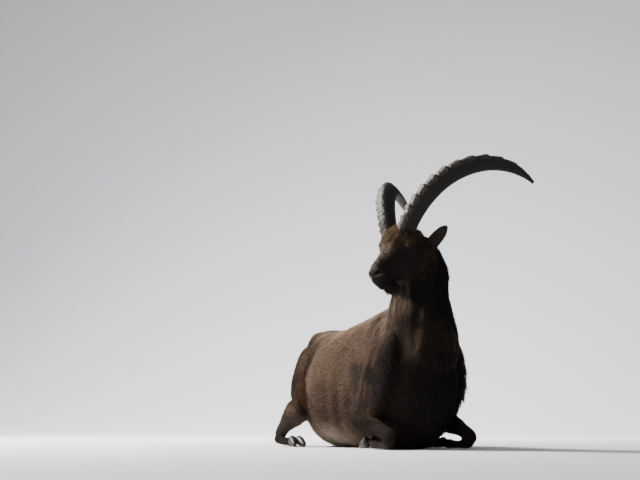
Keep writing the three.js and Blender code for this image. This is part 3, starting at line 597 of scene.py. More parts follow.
def coat_length(points, shares):
    """Length of the hair in millimetres: longest on neck and breast, short on face and feet."""
    x, y, z = to_head(points).T
    lengths = {
        "head": HAIR["nose"] + HAIR["cheek"] * step(150, 40, x) + HAIR["nape"] * step(60, 10, x)
        + HAIR["forehead"] * step(30, 54, z) * step(200, 140, x) * step(56, 30, np.abs(y)),
        "leg": HAIR["foot"] + HAIR["leg"] * step(40, 120, points[:, 2]),
        "trunk": HAIR["trunk"] + HAIR["loin"] * step(300, 620, points[:, 1])
        + HAIR["breast"] * step(-60, -220, points[:, 1]),
        "neck": HAIR["neck"] + HAIR["throat"] * step(560, 740, points[:, 2]),
        "thigh": HAIR["thigh"],
        "tail": HAIR["tail"],
    }
    return sum(shares[name] * length for name, length in lengths.items())


def linear(rgb):
    """A display colour, 0 to 1, as the linear values that shaders use."""
    rgb = np.asarray(rgb, float)[..., :3]
    return np.where(rgb <= 0.04045, rgb / 12.92, ((rgb + 0.055) / 1.055) ** 2.4)


class Paint:
    """Colours for a set of points, over which named colours are mixed by shares."""

    def __init__(self, colours, first, count):
        self.colours = colours
        self.tint = np.tile(linear(getattr(colours, first)), (count, 1))

    def over(self, name, share):
        """Mixes a named colour over what is there."""
        share = np.clip(share, 0, 1)[:, None]
        self.tint = self.tint * (1 - share) + linear(getattr(self.colours, name)) * share


def markings(points, normals, shares, colours):
    """The coat's colours by place: each colour is mixed over the last by a share made of smooth steps.

    The limits of the steps are places in millimetres, in the head's frame on the head and in the body's
    elsewhere. Broad noise moves them, so that no edge runs straight.
    """
    patchy = ripple(points, 90, 11) * 0.5 + ripple(points, 34, 12) * 0.3
    streak = ripple(points * (1, 1, 0.3), 36, 13)
    paint = Paint(colours, "flank", len(points))
    mark_trunk(paint, points, normals, shares, patchy, streak)
    throat = mark_neck(paint, points, normals, shares, patchy, streak)
    paint.over("legs", shares["leg"] * step(170, 110, points[:, 2] + 15 * patchy))
    paint.over("legs", shares["tail"] * 0.8)
    locks = mark_head(paint, to_head(points), shares, patchy)
    locks *= 0.34 * ripple(points, 19, 14) + 0.24 * ripple(points, 9, 15)
    # Painted shadow of the head on the throat: the tint is darkened there, much less towards the camera's
    # right.
    shadow = 1 - 0.6 * throat * (1 - 0.9 * step(40, 100, points @ RIGHT))
    return paint.tint * ((1 + 0.17 * patchy + 0.05 * streak + locks) * shadow)[:, None]


def mark_trunk(paint, points, normals, shares, patchy, streak):
    """Paler back and belly, dark spine and lower flank, brown shoulder and haunch, dark patches below."""
    x, y, z = points.T
    top = normals[:, 2]
    soft = shares["trunk"] + shares["thigh"]
    wide = step(60, 100, np.abs(x))
    paint.over("back", soft * step(0.25, 0.9, top) * step(330, 470, z) * 0.8)
    paint.over("stripe", soft * step(270, 150, z + 24 * patchy) * step(-0.9, -0.2, top) * 0.85)
    paint.over("belly", soft * step(0.1, -0.5, top) * step(120, 30, z) * step(60, 260, y) * 0.8)
    paint.over("stripe", soft * hump(x, 0, 26) * step(0.6, 0.95, top) * 0.5)
    paint.over("shoulder", soft * wide * step(60, -110, y + 20 * patchy) * step(0.85, 0.35, top) * 0.75)
    low = wide * step(100, 0, y + 26 * patchy) * step(385, 300, z + 22 * patchy)
    paint.over("legs", shares["trunk"] * low * step(-1.2, 0.5, streak) * 0.85)
    rump = step(345, 405, y + 16 * patchy + 0.4 * (z - 300))
    paint.over("haunch", soft * rump * (0.92 - 0.5 * step(0.3, 0.75, top)))


def mark_neck(paint, points, normals, shares, patchy, streak):
    """Dark breast and front of neck, the front partly painted shade; painted shade before the shoulder and a
    painted shadow on the throat, whose share it returns.
    """
    x, y, z = points.T
    ahead = normals[:, 1]
    level = points @ RIGHT
    paint.over("neck", shares["neck"] * (0.8 + 0.2 * patchy))
    # Front of the neck and breast, picked by the way the surface faces: partly the coat's own dark colour,
    # partly painted shade on the side turned from the light.
    facing = 0.1 * step(480, 400, z) - 0.66 - ahead - 0.08 * streak
    front = step(0, 1, facing / 0.26) * step(790, 700, z)
    paint.over("breast", (shares["neck"] + shares["trunk"] * step(-60, -200, y)) * front * 0.92)
    paint.over("breast", shares["trunk"] * step(-120, -250, y) * step(430, 300, z + 30 * patchy) * 0.9)
    # Painted shade in the groove between the neck's foot and the shoulder, laid in the dark breast colour.
    wedge = hump(y + 0.2 * (z - 400), -236, 38) * step(50, 80, np.abs(x)) * step(525, 465, z)
    paint.over("breast", (shares["trunk"] + shares["neck"]) * wedge * step(150, 300, z) * 0.9)
    # Painted shadow of the head across the throat: above a line slanting down under the jaw, with a softer
    # edge towards the camera's right, the breast colour is laid on, and the share also darkens the tint.
    edge = 9 + 0.3 * np.maximum(level - 110, 0)
    above = z - 562 + 0.76 * np.maximum(level - 22, 0) + 7 * patchy
    throat = shares["neck"] * step(-1, 1, above / edge)
    paint.over("breast", throat * step(0.97, 0.8, ahead) * step(830, 760, z) * 0.97)
    return throat


def mark_head(paint, points, shares, patchy):
    """Rust forehead and brow, grey bridge, dark muzzle and cheeks; returns the share with streaked locks."""
    x, y, z = points[:, 0], np.abs(points[:, 1]), points[:, 2]
    skull = shares["head"]
    paint.over("face", skull)
    paint.over("cheek", skull * step(34, -10, z - 0.15 * x) * step(20, 70, x) * 0.9)
    upper = skull * step(26, 52, z + 0.14 * (x - 120)) * step(40, 26, y)
    paint.over("forehead", upper * step(280, 235, x) * 0.95)
    paint.over("forehead", skull * step(46, 62, z) * step(170, 130, x) * step(52, 36, y) * 0.9)
    paint.over("bridge", upper * step(150, 205, x + 8 * patchy) * step(312, 302, x) * 0.9)
    paint.over("muzzle", skull * step(252, 282, x + 6 * patchy) * step(12, -6, z + 0.6 * (x - 290)) * 0.85)
    paint.over("lip", skull * step(286, 298, x) * hump(z, -20, 3.5) * step(2, 8, y) * 0.5)
    brow = hump(z - 0.12 * (x - 126), 46, 6) * hump(x, 130, 22) * step(28, 42, y)
    paint.over("forehead", skull * brow * 0.95)
    lock = hump(x, 34, 12) * hump(z, -34, 24) * step(40, 54, y)
    paint.over("forehead", (skull + shares["neck"]) * lock * 0.45)
    paint.over("crown", skull * step(-54, -68, z) * step(170, 200, x) * 0.9)
    return skull * step(10, 50, z + 0.14 * (x - 120))


# Hide

def whole_body(inset):
    """Every form of flesh as one set of closed, overlapping shells."""
    grids = [
        trunk(inset["trunk"]),
        neck(inset["neck"]),
        from_head(head(inset["head"])),
        limb(TAIL, 1, 0, inset["tail"]),
    ]
    for _, sign in SIDES:
        fore, hind = (STAGGER[end] * (sign < 0) for end in ("fore", "hind"))
        grids.append(limb(SHOULDER, sign, fore, inset["trunk"], boxy=SHOULDER_BOXY))
        grids.append(limb(FOREARM, sign, fore, inset["leg"]))
        grids.append(limb(FORE_CANNON, sign, fore, inset["leg"]))
        grids.append(limb(THIGH, sign, hind, inset["trunk"]))
        grids.append(limb(SHANK, sign, hind, inset["leg"]))
        grids.append(limb(HIND_CANNON, sign, hind, inset["leg"]))
    verts, quads, tris, count = [], [], [], 0
    for grid in grids:
        v, q, t = faces_of(grid)
        v[:, 2] = np.maximum(v[:, 2], LOWEST["shell"])
        verts.append(v)
        quads.append(q + count)
        tris.append(t + count)
        count += len(v)
    return np.concatenate(verts), np.concatenate(quads), np.concatenate(tris)


def fused(mesh, voxel):
    """The outer surface of overlapping shells, remeshed on a grid of cells."""
    maker = bpy.data.objects.new("maker", mesh)
    bpy.context.scene.collection.objects.link(maker)
    change = maker.modifiers.new("cells", "REMESH")
    change.mode = "VOXEL"
    change.voxel_size = voxel
    change.use_smooth_shade = True
    ready = maker.evaluated_get(bpy.context.evaluated_depsgraph_get())
    result = bpy.data.meshes.new_from_object(ready)
    bpy.data.objects.remove(maker)
    return result


def edit(piece, work):
    """Runs work with the piece active and in edit mode, on the faces that are selected."""
    bpy.ops.object.select_all(action="DESELECT")
    bpy.context.view_layer.objects.active = piece
    piece.select_set(True)
    bpy.context.tool_settings.mesh_select_mode = (False, False, True)
    bpy.ops.object.mode_set(mode="EDIT")
    work()
    bpy.ops.object.mode_set(mode="OBJECT")
    piece.select_set(False)


def refine(piece, chosen):
    """Cuts in four each face whose middle satisfies a rule given in the head's frame."""
    mesh = piece.data
    middle = np.empty(len(mesh.polygons) * 3, np.float32)
    mesh.polygons.foreach_get("center", middle)
    picked = chosen(to_head(to_body(middle.reshape(-1, 3))))
    mesh.vertices.foreach_set("select", np.zeros(len(mesh.vertices), bool))
    mesh.edges.foreach_set("select", np.zeros(len(mesh.edges), bool))
    mesh.polygons.foreach_set("select", picked)
    edit(piece, lambda: bpy.ops.mesh.subdivide(number_cuts=1, smoothness=0))


def on_face(points):
    """The front of the head, where the hide's faces are cut in four."""
    x, y, z = points[:, 0], np.abs(points[:, 1]), points[:, 2]
    return (x > 20) & (x < 330) & (y < 92) & (z > -120) & (z < 110)


def on_lids_or_lips(points):
    """Round the eyes, on the nose and along the mouth, where they are cut once more."""
    x, z = points[:, 0], points[:, 2]
    eye = np.linalg.norm(mirrored(points) - EYE_AT, axis=1) < 27
    return eye | (x > 262) | ((x > 220) & (z < -22) & (z > -62))


def eye_axes(sign):
    """The eye's outward, level and upward directions in the head's frame."""
    out = unit(on_side(EYE_LOOKS, sign))
    level = unit(np.cross((0, 0, 1), out)) * sign
    return out, level, np.cross(out, level) * sign


def carve_eye(h, sign):
    """Lids: near the eyeball the skin keeps to a larger ball, and inside an almond it sinks behind it.

    The almond is (u / half length)^2 + (v / half height)^2 = 1, with its own half height above and below.
    """
    out, level, up = eye_axes(sign)
    centre = on_side(EYE_AT, sign)
    off = h - centre
    far = np.linalg.norm(off, axis=1)
    u, v = off @ level, off @ up
    lifted = v - 1.0 - 0.006 * u**2
    almond = (u / LID[0]) ** 2 + (lifted / np.where(lifted > 0, LID[1], LID[2])) ** 2
    facing = step(0.15, 0.5, (off @ out) / np.maximum(far, 1e-6))
    near = step(34, 22, far) * facing
    lid = np.maximum(far, EYE_RADIUS + 1.2 + 1.6 * hump(almond, 1.5, 0.8))
    goal = np.where(almond < 1, EYE_RADIUS - 3.5, lid)
    goal = far + (goal - far) * near
    crease = 1.6 * hump(almond, 3.6, 0.7) * near * step(-2, 4, lifted)
    return centre + off * ((goal - crease) / np.maximum(far, 1e-6))[:, None]


def carve_face(h, normals):
    """Nostrils, lips and the line of the mouth, as moves along the surface's own direction."""
    x, y, z = mirrored(h).T
    before, aside, over = x - NOSTRIL_AT[0], y - NOSTRIL_AT[1], z - NOSTRIL_AT[2]
    slit = before * 0.55 - aside * 0.62 - over * 0.55
    gape = over * 0.8 - aside * 0.45 - 0.03 * slit**2
    hole = np.exp(-(((slit / 8.5) ** 2 + (gape / 3.0) ** 2 + (before / 15) ** 2) ** 2))
    rim = hump((slit / 11) ** 2 + (gape / 6.0) ** 2, 1.0, 0.5) * hump(before, 0, 16)
    along = np.clip((x - MOUTH["from"]) / (MOUTH["to"] - MOUTH["from"]), 0, 1)
    line = MOUTH["corner"] + (MOUTH["front"] - MOUTH["corner"]) * along + 2.5 * np.sin(along * PI * 1.5)
    reach = step(MOUTH["from"] - 6, MOUTH["from"] + 6, x)
    groove = hump(z, line, 1.5) * reach
    lips = hump(np.abs(z - line), 5.5, 3.5) * reach
    split = hump(y, 0, 1.3) * step(292, 300, x) * step(-34, -28, z) * step(0, -6, z)
    cheekbone = hump(z + 0.12 * (x - 120), 6, 7) * step(60, 90, x) * step(190, 150, x) * step(30, 44, y)
    jaw = hump(z + 0.1 * (x - 80), -66, 9) * step(40, 70, x) * step(170, 130, x)
    waves = ripple(h * (0.8, 1, 1), 25, 41) * step(0, 30, z) * step(60, 90, x) * step(215, 170, x)
    move = 1.6 * (rim + cheekbone + jaw) + 1.2 * lips + 1.3 * waves - 8.5 * hole - 3.2 * groove - 1.5 * split
    return h + normals * move[:, None]


def folded(points, normals, shares):
    """Shallow upright folds and waves across the neck, and weaker ones on the trunk."""
    soft = shares["neck"] + 0.35 * shares["trunk"]
    folds = 4.2 * ripple(points * (1, 1, 0.3), 66, 21) + 1.8 * ripple(points * (1, 0.8, 0.3), 34, 22)
    return points + normals * (folds * soft)[:, None]


# Hair

def sampled(mesh, density, count, rng):
    """Roots spread over a mesh's triangles in proportion to area times density, one in each equal share."""
    mesh.calc_loop_triangles()
    many = len(mesh.loop_triangles)
    tri, loops = np.empty(many * 3, np.int32), np.empty(many * 3, np.int32)
    mesh.loop_triangles.foreach_get("vertices", tri)
    mesh.loop_triangles.foreach_get("loops", loops)
    tri, loops = tri.reshape(-1, 3), loops.reshape(-1, 3)
    co, normals = corners_of(mesh)
    a, b, c = (co[tri[:, n]] for n in range(3))
    area = np.linalg.norm(np.cross(b - a, c - a), axis=1) / 2
    total = np.cumsum(area * density[tri].mean(1))
    stratum = (np.arange(count) + rng.random(count)) / count
    pick = np.searchsorted(total, stratum * total[-1]).clip(0, many - 1)
    u, v = rng.random((2, count))
    flip = u + v > 1
    u, v = np.where(flip, 1 - u, u), np.where(flip, 1 - v, v)
    share = np.stack([1 - u - v, u, v], 1)
    uv = np.empty(len(mesh.loops) * 2, np.float32)
    mesh.uv_layers[0].data.foreach_get("uv", uv)
    uv = uv.reshape(-1, 2)

    def at(values, index=tri):
        held = values[index[pick]]
        return (held * (share[..., None] if held.ndim > 2 else share)).sum(1)

    return at, co, normals, at(uv, loops)


def tufts(name, roots, normals, ways, length, wide, depth, tint, uv, rows, rng):
    """Three-sided tapering tufts, each of a few rings and a tip.

    At share t a tuft's middle is root + way * length * t + across * length * bend * t^2
    + normal * depth * (t^rise - sunk), so that it leaves the skin steeply and then lies along it.
    """
    count, levels = len(roots), len(rows)
    each = levels * 3 + 1
    shares = np.array([*rows, 1.0])
    ways = unit(ways + normals * TUFT["lift"])
    across = unit(np.cross(normals, ways))
    bend = rng.normal(0, TUFT["bend"], count)[:, None]
    t = shares[None, :, None]
    middle = (
        roots[:, None]
        + ways[:, None] * (length[:, None, None] * t)
        + across[:, None] * (length[:, None, None] * bend[:, None] * t**2)
        + normals[:, None] * (depth[:, None, None] * (t ** TUFT["rise"] - TUFT["sunk"]))
    )
    half = wide[:, None] * np.interp(shares, *TUFT_TAPER)[None] / 2
    edges = [side[:, None] * half[:, :-1, None] for side in (across, -across, normals)]
    edges[2] *= TUFT["ridge"]
    ring = middle[:, :-1, None] + np.stack(edges, 2)
    verts = np.concatenate([ring.reshape(count, levels * 3, 3), middle[:, -1:]], 1)
    verts[..., 2] = np.maximum(verts[..., 2], LOWEST["tuft"])
    faces = []
    for low in range(0, levels * 3 - 3, 3):
        for n in range(3):
            m = (n + 1) % 3
            faces += [(low + n, low + m, low + 3 + m), (low + n, low + 3 + m, low + 3 + n)]
    top = levels * 3 - 3
    faces += [(top + n, top + (n + 1) % 3, each - 1) for n in range(3)] + [(2, 1, 0)]
    tris = (np.arange(count)[:, None, None] * each + np.array(faces)).reshape(-1, 3)
    mesh = put(name, verts.reshape(-1, 3), NO_QUADS, tris)
    along = np.concatenate([np.repeat(shares[:-1], 3), [1.0]])
    over = np.concatenate([np.tile((1.0, 0.0, 0.5), levels), [0.5]])
    patch = np.stack([over - 0.5, along - 0.5], 1) * TUFT["patch"]
    lay_map(mesh, "OFBake", (uv[:, None] + patch[None]).reshape(-1, 2))
    shade = TUFT["root"] + TUFT["paler"] * along
    lay_tint(mesh, (tint[:, None] * shade[None, :, None]).reshape(-1, 3))
    return mesh


# Materials

def nodes_of(name):
    """A new material with only its shader and output."""
    material = bpy.data.materials.new(name)
    material.use_nodes = True
    tree = material.node_tree
    return material, tree, tree.nodes["Principled BSDF"]


def add(tree, kind, **values):
    """A node with its settings and unlinked inputs filled in."""
    node = tree.nodes.new(kind)
    for key, value in values.items():
        if key in node.inputs.keys():
            node.inputs[key].default_value = value
        else:
            setattr(node, key, value)
    return node


def mixed(tree, kind, share, first, second):
    """A colour mix of two sockets or colours."""
    mix = tree.nodes.new("ShaderNodeMix")
    mix.data_type = "RGBA"
    mix.blend_type = kind
    for socket, value in ((mix.inputs[0], share), (mix.inputs[6], first), (mix.inputs[7], second)):
        if isinstance(value, bpy.types.NodeSocket):
            tree.links.new(value, socket)
        else:
            socket.default_value = value
    return mix.outputs[2]


def settle(node, values):
    """Fills in a node's unlinked inputs by name."""
    for key, value in values.items():
        node.inputs[key].default_value = value


def noise(tree, where, scale, detail, rough=0.5):
    """Noise over a place, from 0 to 1."""
    node = add(tree, "ShaderNodeTexNoise", Scale=scale, Detail=detail, Roughness=rough)
    tree.links.new(where, node.inputs["Vector"])
    return node.outputs["Fac"]


def spread(tree, source, start, end, low, high):
    """A value between start and end, spread out between low and high."""
    node = add(tree, "ShaderNodeMapRange")
    settle(node, {"From Min": start, "From Max": end, "To Min": low, "To Max": high})
    tree.links.new(source, node.inputs["Value"])
    return node.outputs["Result"]


def ramp(tree, source, stops):
    """Colours by value: each stop has a place and a colour."""
    node = add(tree, "ShaderNodeValToRGB")
    held = node.color_ramp.elements
    for number, (position, colour) in enumerate(stops):
        stop = held[number] if number < len(held) else held.new(position)
        stop.position = position
        stop.color = (*colour, 1)
    tree.links.new(source, node.inputs["Fac"])
    return node.outputs["Color"]


def bump(tree, shader, source, strength, distance):
    """Lets a value stand for the surface's height in the shader."""
    node = add(tree, "ShaderNodeBump", Strength=strength, Distance=distance)
    tree.links.new(source, node.inputs["Height"])
    tree.links.new(node.outputs["Normal"], shader.inputs["Normal"])


def fur_material(name, rough, grain):
    """Coat: the laid-in tint, broken by fine and by broad noise, with a weak sheen."""
    material, tree, shader = nodes_of(name)
    tint = add(tree, "ShaderNodeAttribute", attribute_name="tint").outputs["Color"]
    where = add(tree, "ShaderNodeTexCoord").outputs["Object"]
    fine = noise(tree, where, grain, 4.0, 0.7)
    broad = noise(tree, where, grain / 14, 3.0)
    tint = mixed(tree, "MULTIPLY", 1.0, tint, spread(tree, fine, 0.3, 0.7, 0.72, 1.25))
    tint = mixed(tree, "MULTIPLY", 1.0, tint, spread(tree, broad, 0, 1, 0.86, 1.14))
    tree.links.new(tint, shader.inputs["Base Color"])
    bump(tree, shader, fine, 0.35, 0.002)
    settle(shader, {"Roughness": rough, "Specular IOR Level": 0.1})
    settle(shader, {"Sheen Weight": 0.025, "Sheen Roughness": 0.5})
    return material


def horn_material():
    """Horn: the laid-in tint of knobs and hollows, streaked along the growth and pitted."""
    material, tree, shader = nodes_of("dry horn")
    tint = add(tree, "ShaderNodeAttribute", attribute_name="tint").outputs["Color"]
    growth = add(tree, "ShaderNodeUVMap", uv_map="growth")
    stretch = add(tree, "ShaderNodeMapping", Scale=(60.0, 9.0, 1.0))
    tree.links.new(growth.outputs["UV"], stretch.inputs["Vector"])
    streak = noise(tree, stretch.outputs["Vector"], 1.0, 6.0, 0.65)
    tint = mixed(tree, "MULTIPLY", 1.0, tint, spread(tree, streak, 0.3, 0.7, 0.6, 1.35))
    tree.links.new(tint, shader.inputs["Base Color"])
    bump(tree, shader, streak, 0.5, 0.0015)
    settle(shader, {"Roughness": 0.62, "Specular IOR Level": 0.35})
    return material


def hoof_material(name, colour):
    """Dark horn with fine noise across it, for the hooves and the edges of the lids."""
    material, tree, shader = nodes_of(name)
    where = add(tree, "ShaderNodeTexCoord").outputs["Object"]
    mottle = noise(tree, where, 90.0, 5.0)
    dark = linear(colour)
    tree.links.new(ramp(tree, mottle, ((0, dark * 0.6), (1, dark * 1.6))), shader.inputs["Base Color"])
    bump(tree, shader, mottle, 0.3, 0.001)
    settle(shader, {"Roughness": 0.5})
    return material


def eye_material(colours):
    """Eye: amber iris with a level, rounded bar of a pupil and a dark surround, read from the gaze map.

    The pupil is where (x / 0.2)^4 + (y / 0.07)^4 is below 1.
    """
    material, tree, shader = nodes_of("wet eye")
    where = add(tree, "ShaderNodeUVMap", uv_map="gaze")
    parts = add(tree, "ShaderNodeSeparateXYZ")
    tree.links.new(where.outputs["UV"], parts.inputs["Vector"])

    def calc(kind, first, second=0.0):
        node = tree.nodes.new("ShaderNodeMath")
        node.operation = kind
        for socket, value in zip(node.inputs, (first, second)):
            if isinstance(value, bpy.types.NodeSocket):
                tree.links.new(value, socket)
            else:
                socket.default_value = value
        return node.outputs[0]

    def fourth(value, half):
        return calc("POWER", calc("ABSOLUTE", calc("DIVIDE", value, half)), 4.0)

    x = calc("SUBTRACT", parts.outputs[0], 0.5)
    y = calc("SUBTRACT", parts.outputs[1], 0.5)
    pupil = calc("LESS_THAN", calc("ADD", fourth(x, 0.2), fourth(y, 0.07)), 1.0)
    far = calc("SQRT", calc("ADD", calc("MULTIPLY", x, x), calc("MULTIPLY", y, y)))
    iris, edge = linear(colours.iris), linear(colours.white)
    stops = ((0.1, iris * 0.8), (0.27, iris), (0.33, iris * 0.35), (0.36, edge), (0.5, edge))
    colour = ramp(tree, far, stops)
    fibres = add(tree, "ShaderNodeTexNoise", noise_dimensions="2D", Scale=14.0, Detail=3.0)
    join = tree.nodes.new("ShaderNodeCombineXYZ")
    tree.links.new(calc("MULTIPLY", calc("ARCTAN2", y, x), 2.0), join.inputs[0])
    tree.links.new(far, join.inputs[1])
    tree.links.new(join.outputs[0], fibres.inputs["Vector"])
    lively = mixed(tree, "OVERLAY", 0.6, colour, fibres.outputs["Fac"])
    tree.links.new(mixed(tree, "MIX", pupil, lively, (0.004, 0.004, 0.005, 1)), shader.inputs["Base Color"])
    settle(shader, {"Roughness": 0.06, "Coat Weight": 1.0, "Coat Roughness": 0.02})
    return material


# Settings

def colour_setting(name, text, value):
    """A colour that a user can change."""
    return bpy.props.FloatVectorProperty(
        name=name, description=text, subtype="COLOR_GAMMA", size=3, min=0, max=1, default=value
    )

def length_setting(name, text, value, low=0.0):
    """A length that a user can change, in metres."""
    return bpy.props.FloatProperty(name=name, description=text, default=value, min=low, unit="LENGTH")


def light_setting(name, text, value):
    """A light's power or strength that a user can change."""
    return bpy.props.FloatProperty(name=name, description=text, default=value)


class IBEX_PG_coat(bpy.types.PropertyGroup):
    """Colours and hair of the coat."""

    flank: colour_setting("Flank", "Main colour of the sides", (0.345, 0.268, 0.205))
    back: colour_setting("Back", "Paler colour along the top of the trunk", (0.484, 0.404, 0.315))
    stripe: colour_setting("Stripe", "Dark colour low on the flank and along the spine", (0.22, 0.15, 0.11))
    shoulder: colour_setting("Shoulder", "Brown over the shoulder", (0.34, 0.262, 0.20))
    belly: colour_setting("Belly", "Pale colour under the belly", (0.66, 0.60, 0.53))
    haunch: colour_setting("Haunch", "Brown of the rump and the rear of the thigh", (0.16, 0.108, 0.08))
    # Breast also gives the painted shade on the neck's front and before the shoulder, and the painted shadow
    # on the throat.
    breast: colour_setting("Breast", "Dark colour of the breast", (0.088, 0.066, 0.055))
    neck: colour_setting("Neck", "Colour of the neck", (0.43, 0.36, 0.31))
    legs: colour_setting("Legs", "Dark colour of the legs and the tail", (0.14, 0.10, 0.08))
    face: colour_setting("Face", "Main colour of the head", (0.26, 0.198, 0.16))
    cheek: colour_setting("Cheek", "Colour of the side of the head", (0.142, 0.105, 0.102))
    forehead: colour_setting("Forehead", "Rust brown of the forehead", (0.305, 0.226, 0.13))
    bridge: colour_setting("Nose", "Greyer colour along the top of the nose", (0.46, 0.405, 0.37))
    crown: colour_setting("Crown", "Dark brown of the beard and under the chin", (0.10, 0.068, 0.05))
    muzzle: colour_setting("Muzzle", "Dark colour round the nostrils and mouth", (0.12, 0.095, 0.095))
    lip: colour_setting("Lip", "Pale edge of the upper lip", (0.42, 0.375, 0.33))
    depth_body: length_setting("Body depth", "Thickness of the coat on neck and trunk", 0.012, 0.002)
    depth_head: length_setting("Face depth", "Thickness of the coat on the face", 0.0025, 0.001)
    cell: length_setting("Cell", "Size of the faces of the hide's mesh", 0.0067, 0.003)
    tufts: bpy.props.IntProperty(
        name="Tufts", description="Number of tufts on the whole body", default=122000, min=1000
    )


class IBEX_PG_parts(bpy.types.PropertyGroup):
    """Colours of eyes, horns and hooves."""

    iris: colour_setting("Iris", "Amber of the iris", (0.21, 0.12, 0.045))
    white: colour_setting("Eye edge", "Dark surround of the iris", (0.06, 0.045, 0.035))
    horn_dark: colour_setting("Horn", "Dark grey brown of the horns", (0.047, 0.036, 0.030))
    horn_pale: colour_setting("Knobs", "Worn, paler colour of the knobs", (0.262, 0.238, 0.206))
    hoof: colour_setting("Hoof", "Dark horn of the hooves", (0.085, 0.07, 0.058))
    ear_inside: colour_setting("Ear inside", "Pale hair inside the ear", (0.24, 0.205, 0.175))


class IBEX_PG_stage(bpy.types.PropertyGroup):
    """Camera, light and floor."""

    distance: length_setting("Distance", "From the camera to the withers", 6.51)
    height: length_setting("Height", "Camera's height above the floor", 0.1395)
    key: light_setting("Key light", "Power of the large light, in watts", 790)
    fill: light_setting("Fill light", "Power of the fill light, in watts", 58)
    backdrop: light_setting("Backdrop light", "Power of the light on the sheet behind, in watts", 420)
    sky: light_setting("Sky", "Strength of the even light all round", 0.26)
    floor: colour_setting("Floor", "Pale floor", (0.86, 0.86, 0.87))


FLESH = ["head", "neck", "torso", "tail"] + [
    f"{part}_{word}" for word, _ in SIDES
    for part in ("foreleg_upper", "foreleg_lower", "hindleg_thigh", "hindleg_shank", "hindleg_lower")
]


class IBEX_OT_hide(bpy.types.Operator):
    """One skin over head, neck, trunk, legs and tail, with lids, nostrils, lips and folds"""

    bl_idname = "ibex.hide"
    bl_label = "Hide"

    def execute(self, context):
        coat = context.scene.ibex_coat
        body, face = coat.depth_body / MM, coat.depth_head / MM
        inset = {"trunk": body, "neck": body, "head": face, "leg": face + 1.5, "tail": face + 3}
        verts, quads, tris = whole_body(inset)
        mesh = fused(put("shells", in_part(verts), quads, tris), coat.cell)
        co, _ = corners_of(mesh)
        even = 1 - 0.9 * self.face_share(to_head(to_body(co)))
        co = smoothed(co, mesh, FILLET, self.meeting(to_body(co)))
        move_corners(mesh, smoothed(co, mesh, EVEN, even))
        piece = place("hide", mesh, fur_material("hide", 0.85, 900), "coat", FLESH)
        mesh.polygons.foreach_set("select", np.ones(len(mesh.polygons), bool))
        edit(piece, lambda: bpy.ops.uv.smart_project(angle_limit=1.15, island_margin=0.001))
        refine(piece, on_face)
        refine(piece, on_lids_or_lips)
        co, normals = corners_of(mesh)
        points = to_body(co)
        shares, ways = regions(points)
        points = self.carved(folded(points, normals, shares), normals)
        move_corners(mesh, in_part(points))
        _, normals = corners_of(mesh)
        lay(mesh, "lie", "FLOAT_VECTOR", lie_of_hair(points, normals, shares, ways))
        lay(mesh, "hair", "FLOAT", coat_length(points, shares))
        lay_tint(mesh, markings(points, normals, shares, coat) * HIDE_SHADE)
        for name in ("head", "leg", "neck"):
            lay(mesh, "on_" + name, "FLOAT", shares[name])
        return {"FINISHED"}

    @staticmethod
    def face_share(points):
        """The face, where smoothing would wear off brows and nose: 1 on it and 0 well away from it."""
        x, y, z = points.T
        return step(30, 90, x) * step(200, 120, np.abs(y)) * (np.abs(z) < 160)

    @staticmethod
    def carved(points, normals):
        """Points with nostrils, lips and lids cut into the face, and with none under the floor."""
        h = to_head(points)
        x, y, z = h.T
        near = (np.abs(y) < 110) & (np.abs(z) < 150) & (x > 20) & (x < 340)
        h[near] = carve_face(h[near], (normals @ HEAD_TURN)[near])
        for _, sign in SIDES:
            side = near & (h[:, 1] * sign > 10)
            h[side] = carve_eye(h[side], sign)
        points[near] = from_head(h[near])
        points[:, 2] = np.maximum(points[:, 2], LOWEST["hide"])
        return points

    @staticmethod
    def meeting(points):
        """Where flesh flows from one form into the next: round the neck's foot and behind the shoulder."""
        x, y, z = np.abs(points[:, 0]), points[:, 1], points[:, 2]
        shares, _ = regions(points)
        foot = np.clip(4 * shares["neck"] * shares["trunk"], 0, 1)
        fold = step(60, 90, x) * step(240, 300, z) * step(440, 400, z)
        rear = np.interp(z, (110, 160, 250, 317, 373, 420, 465), (38, -6, -30, -20, -40, -84, -128))
        behind = hump(y, rear, 46) * step(50, 80, x) * step(90, 140, z)
        return np.clip(foot * (1 - 0.85 * fold) + behind, 0, 1)


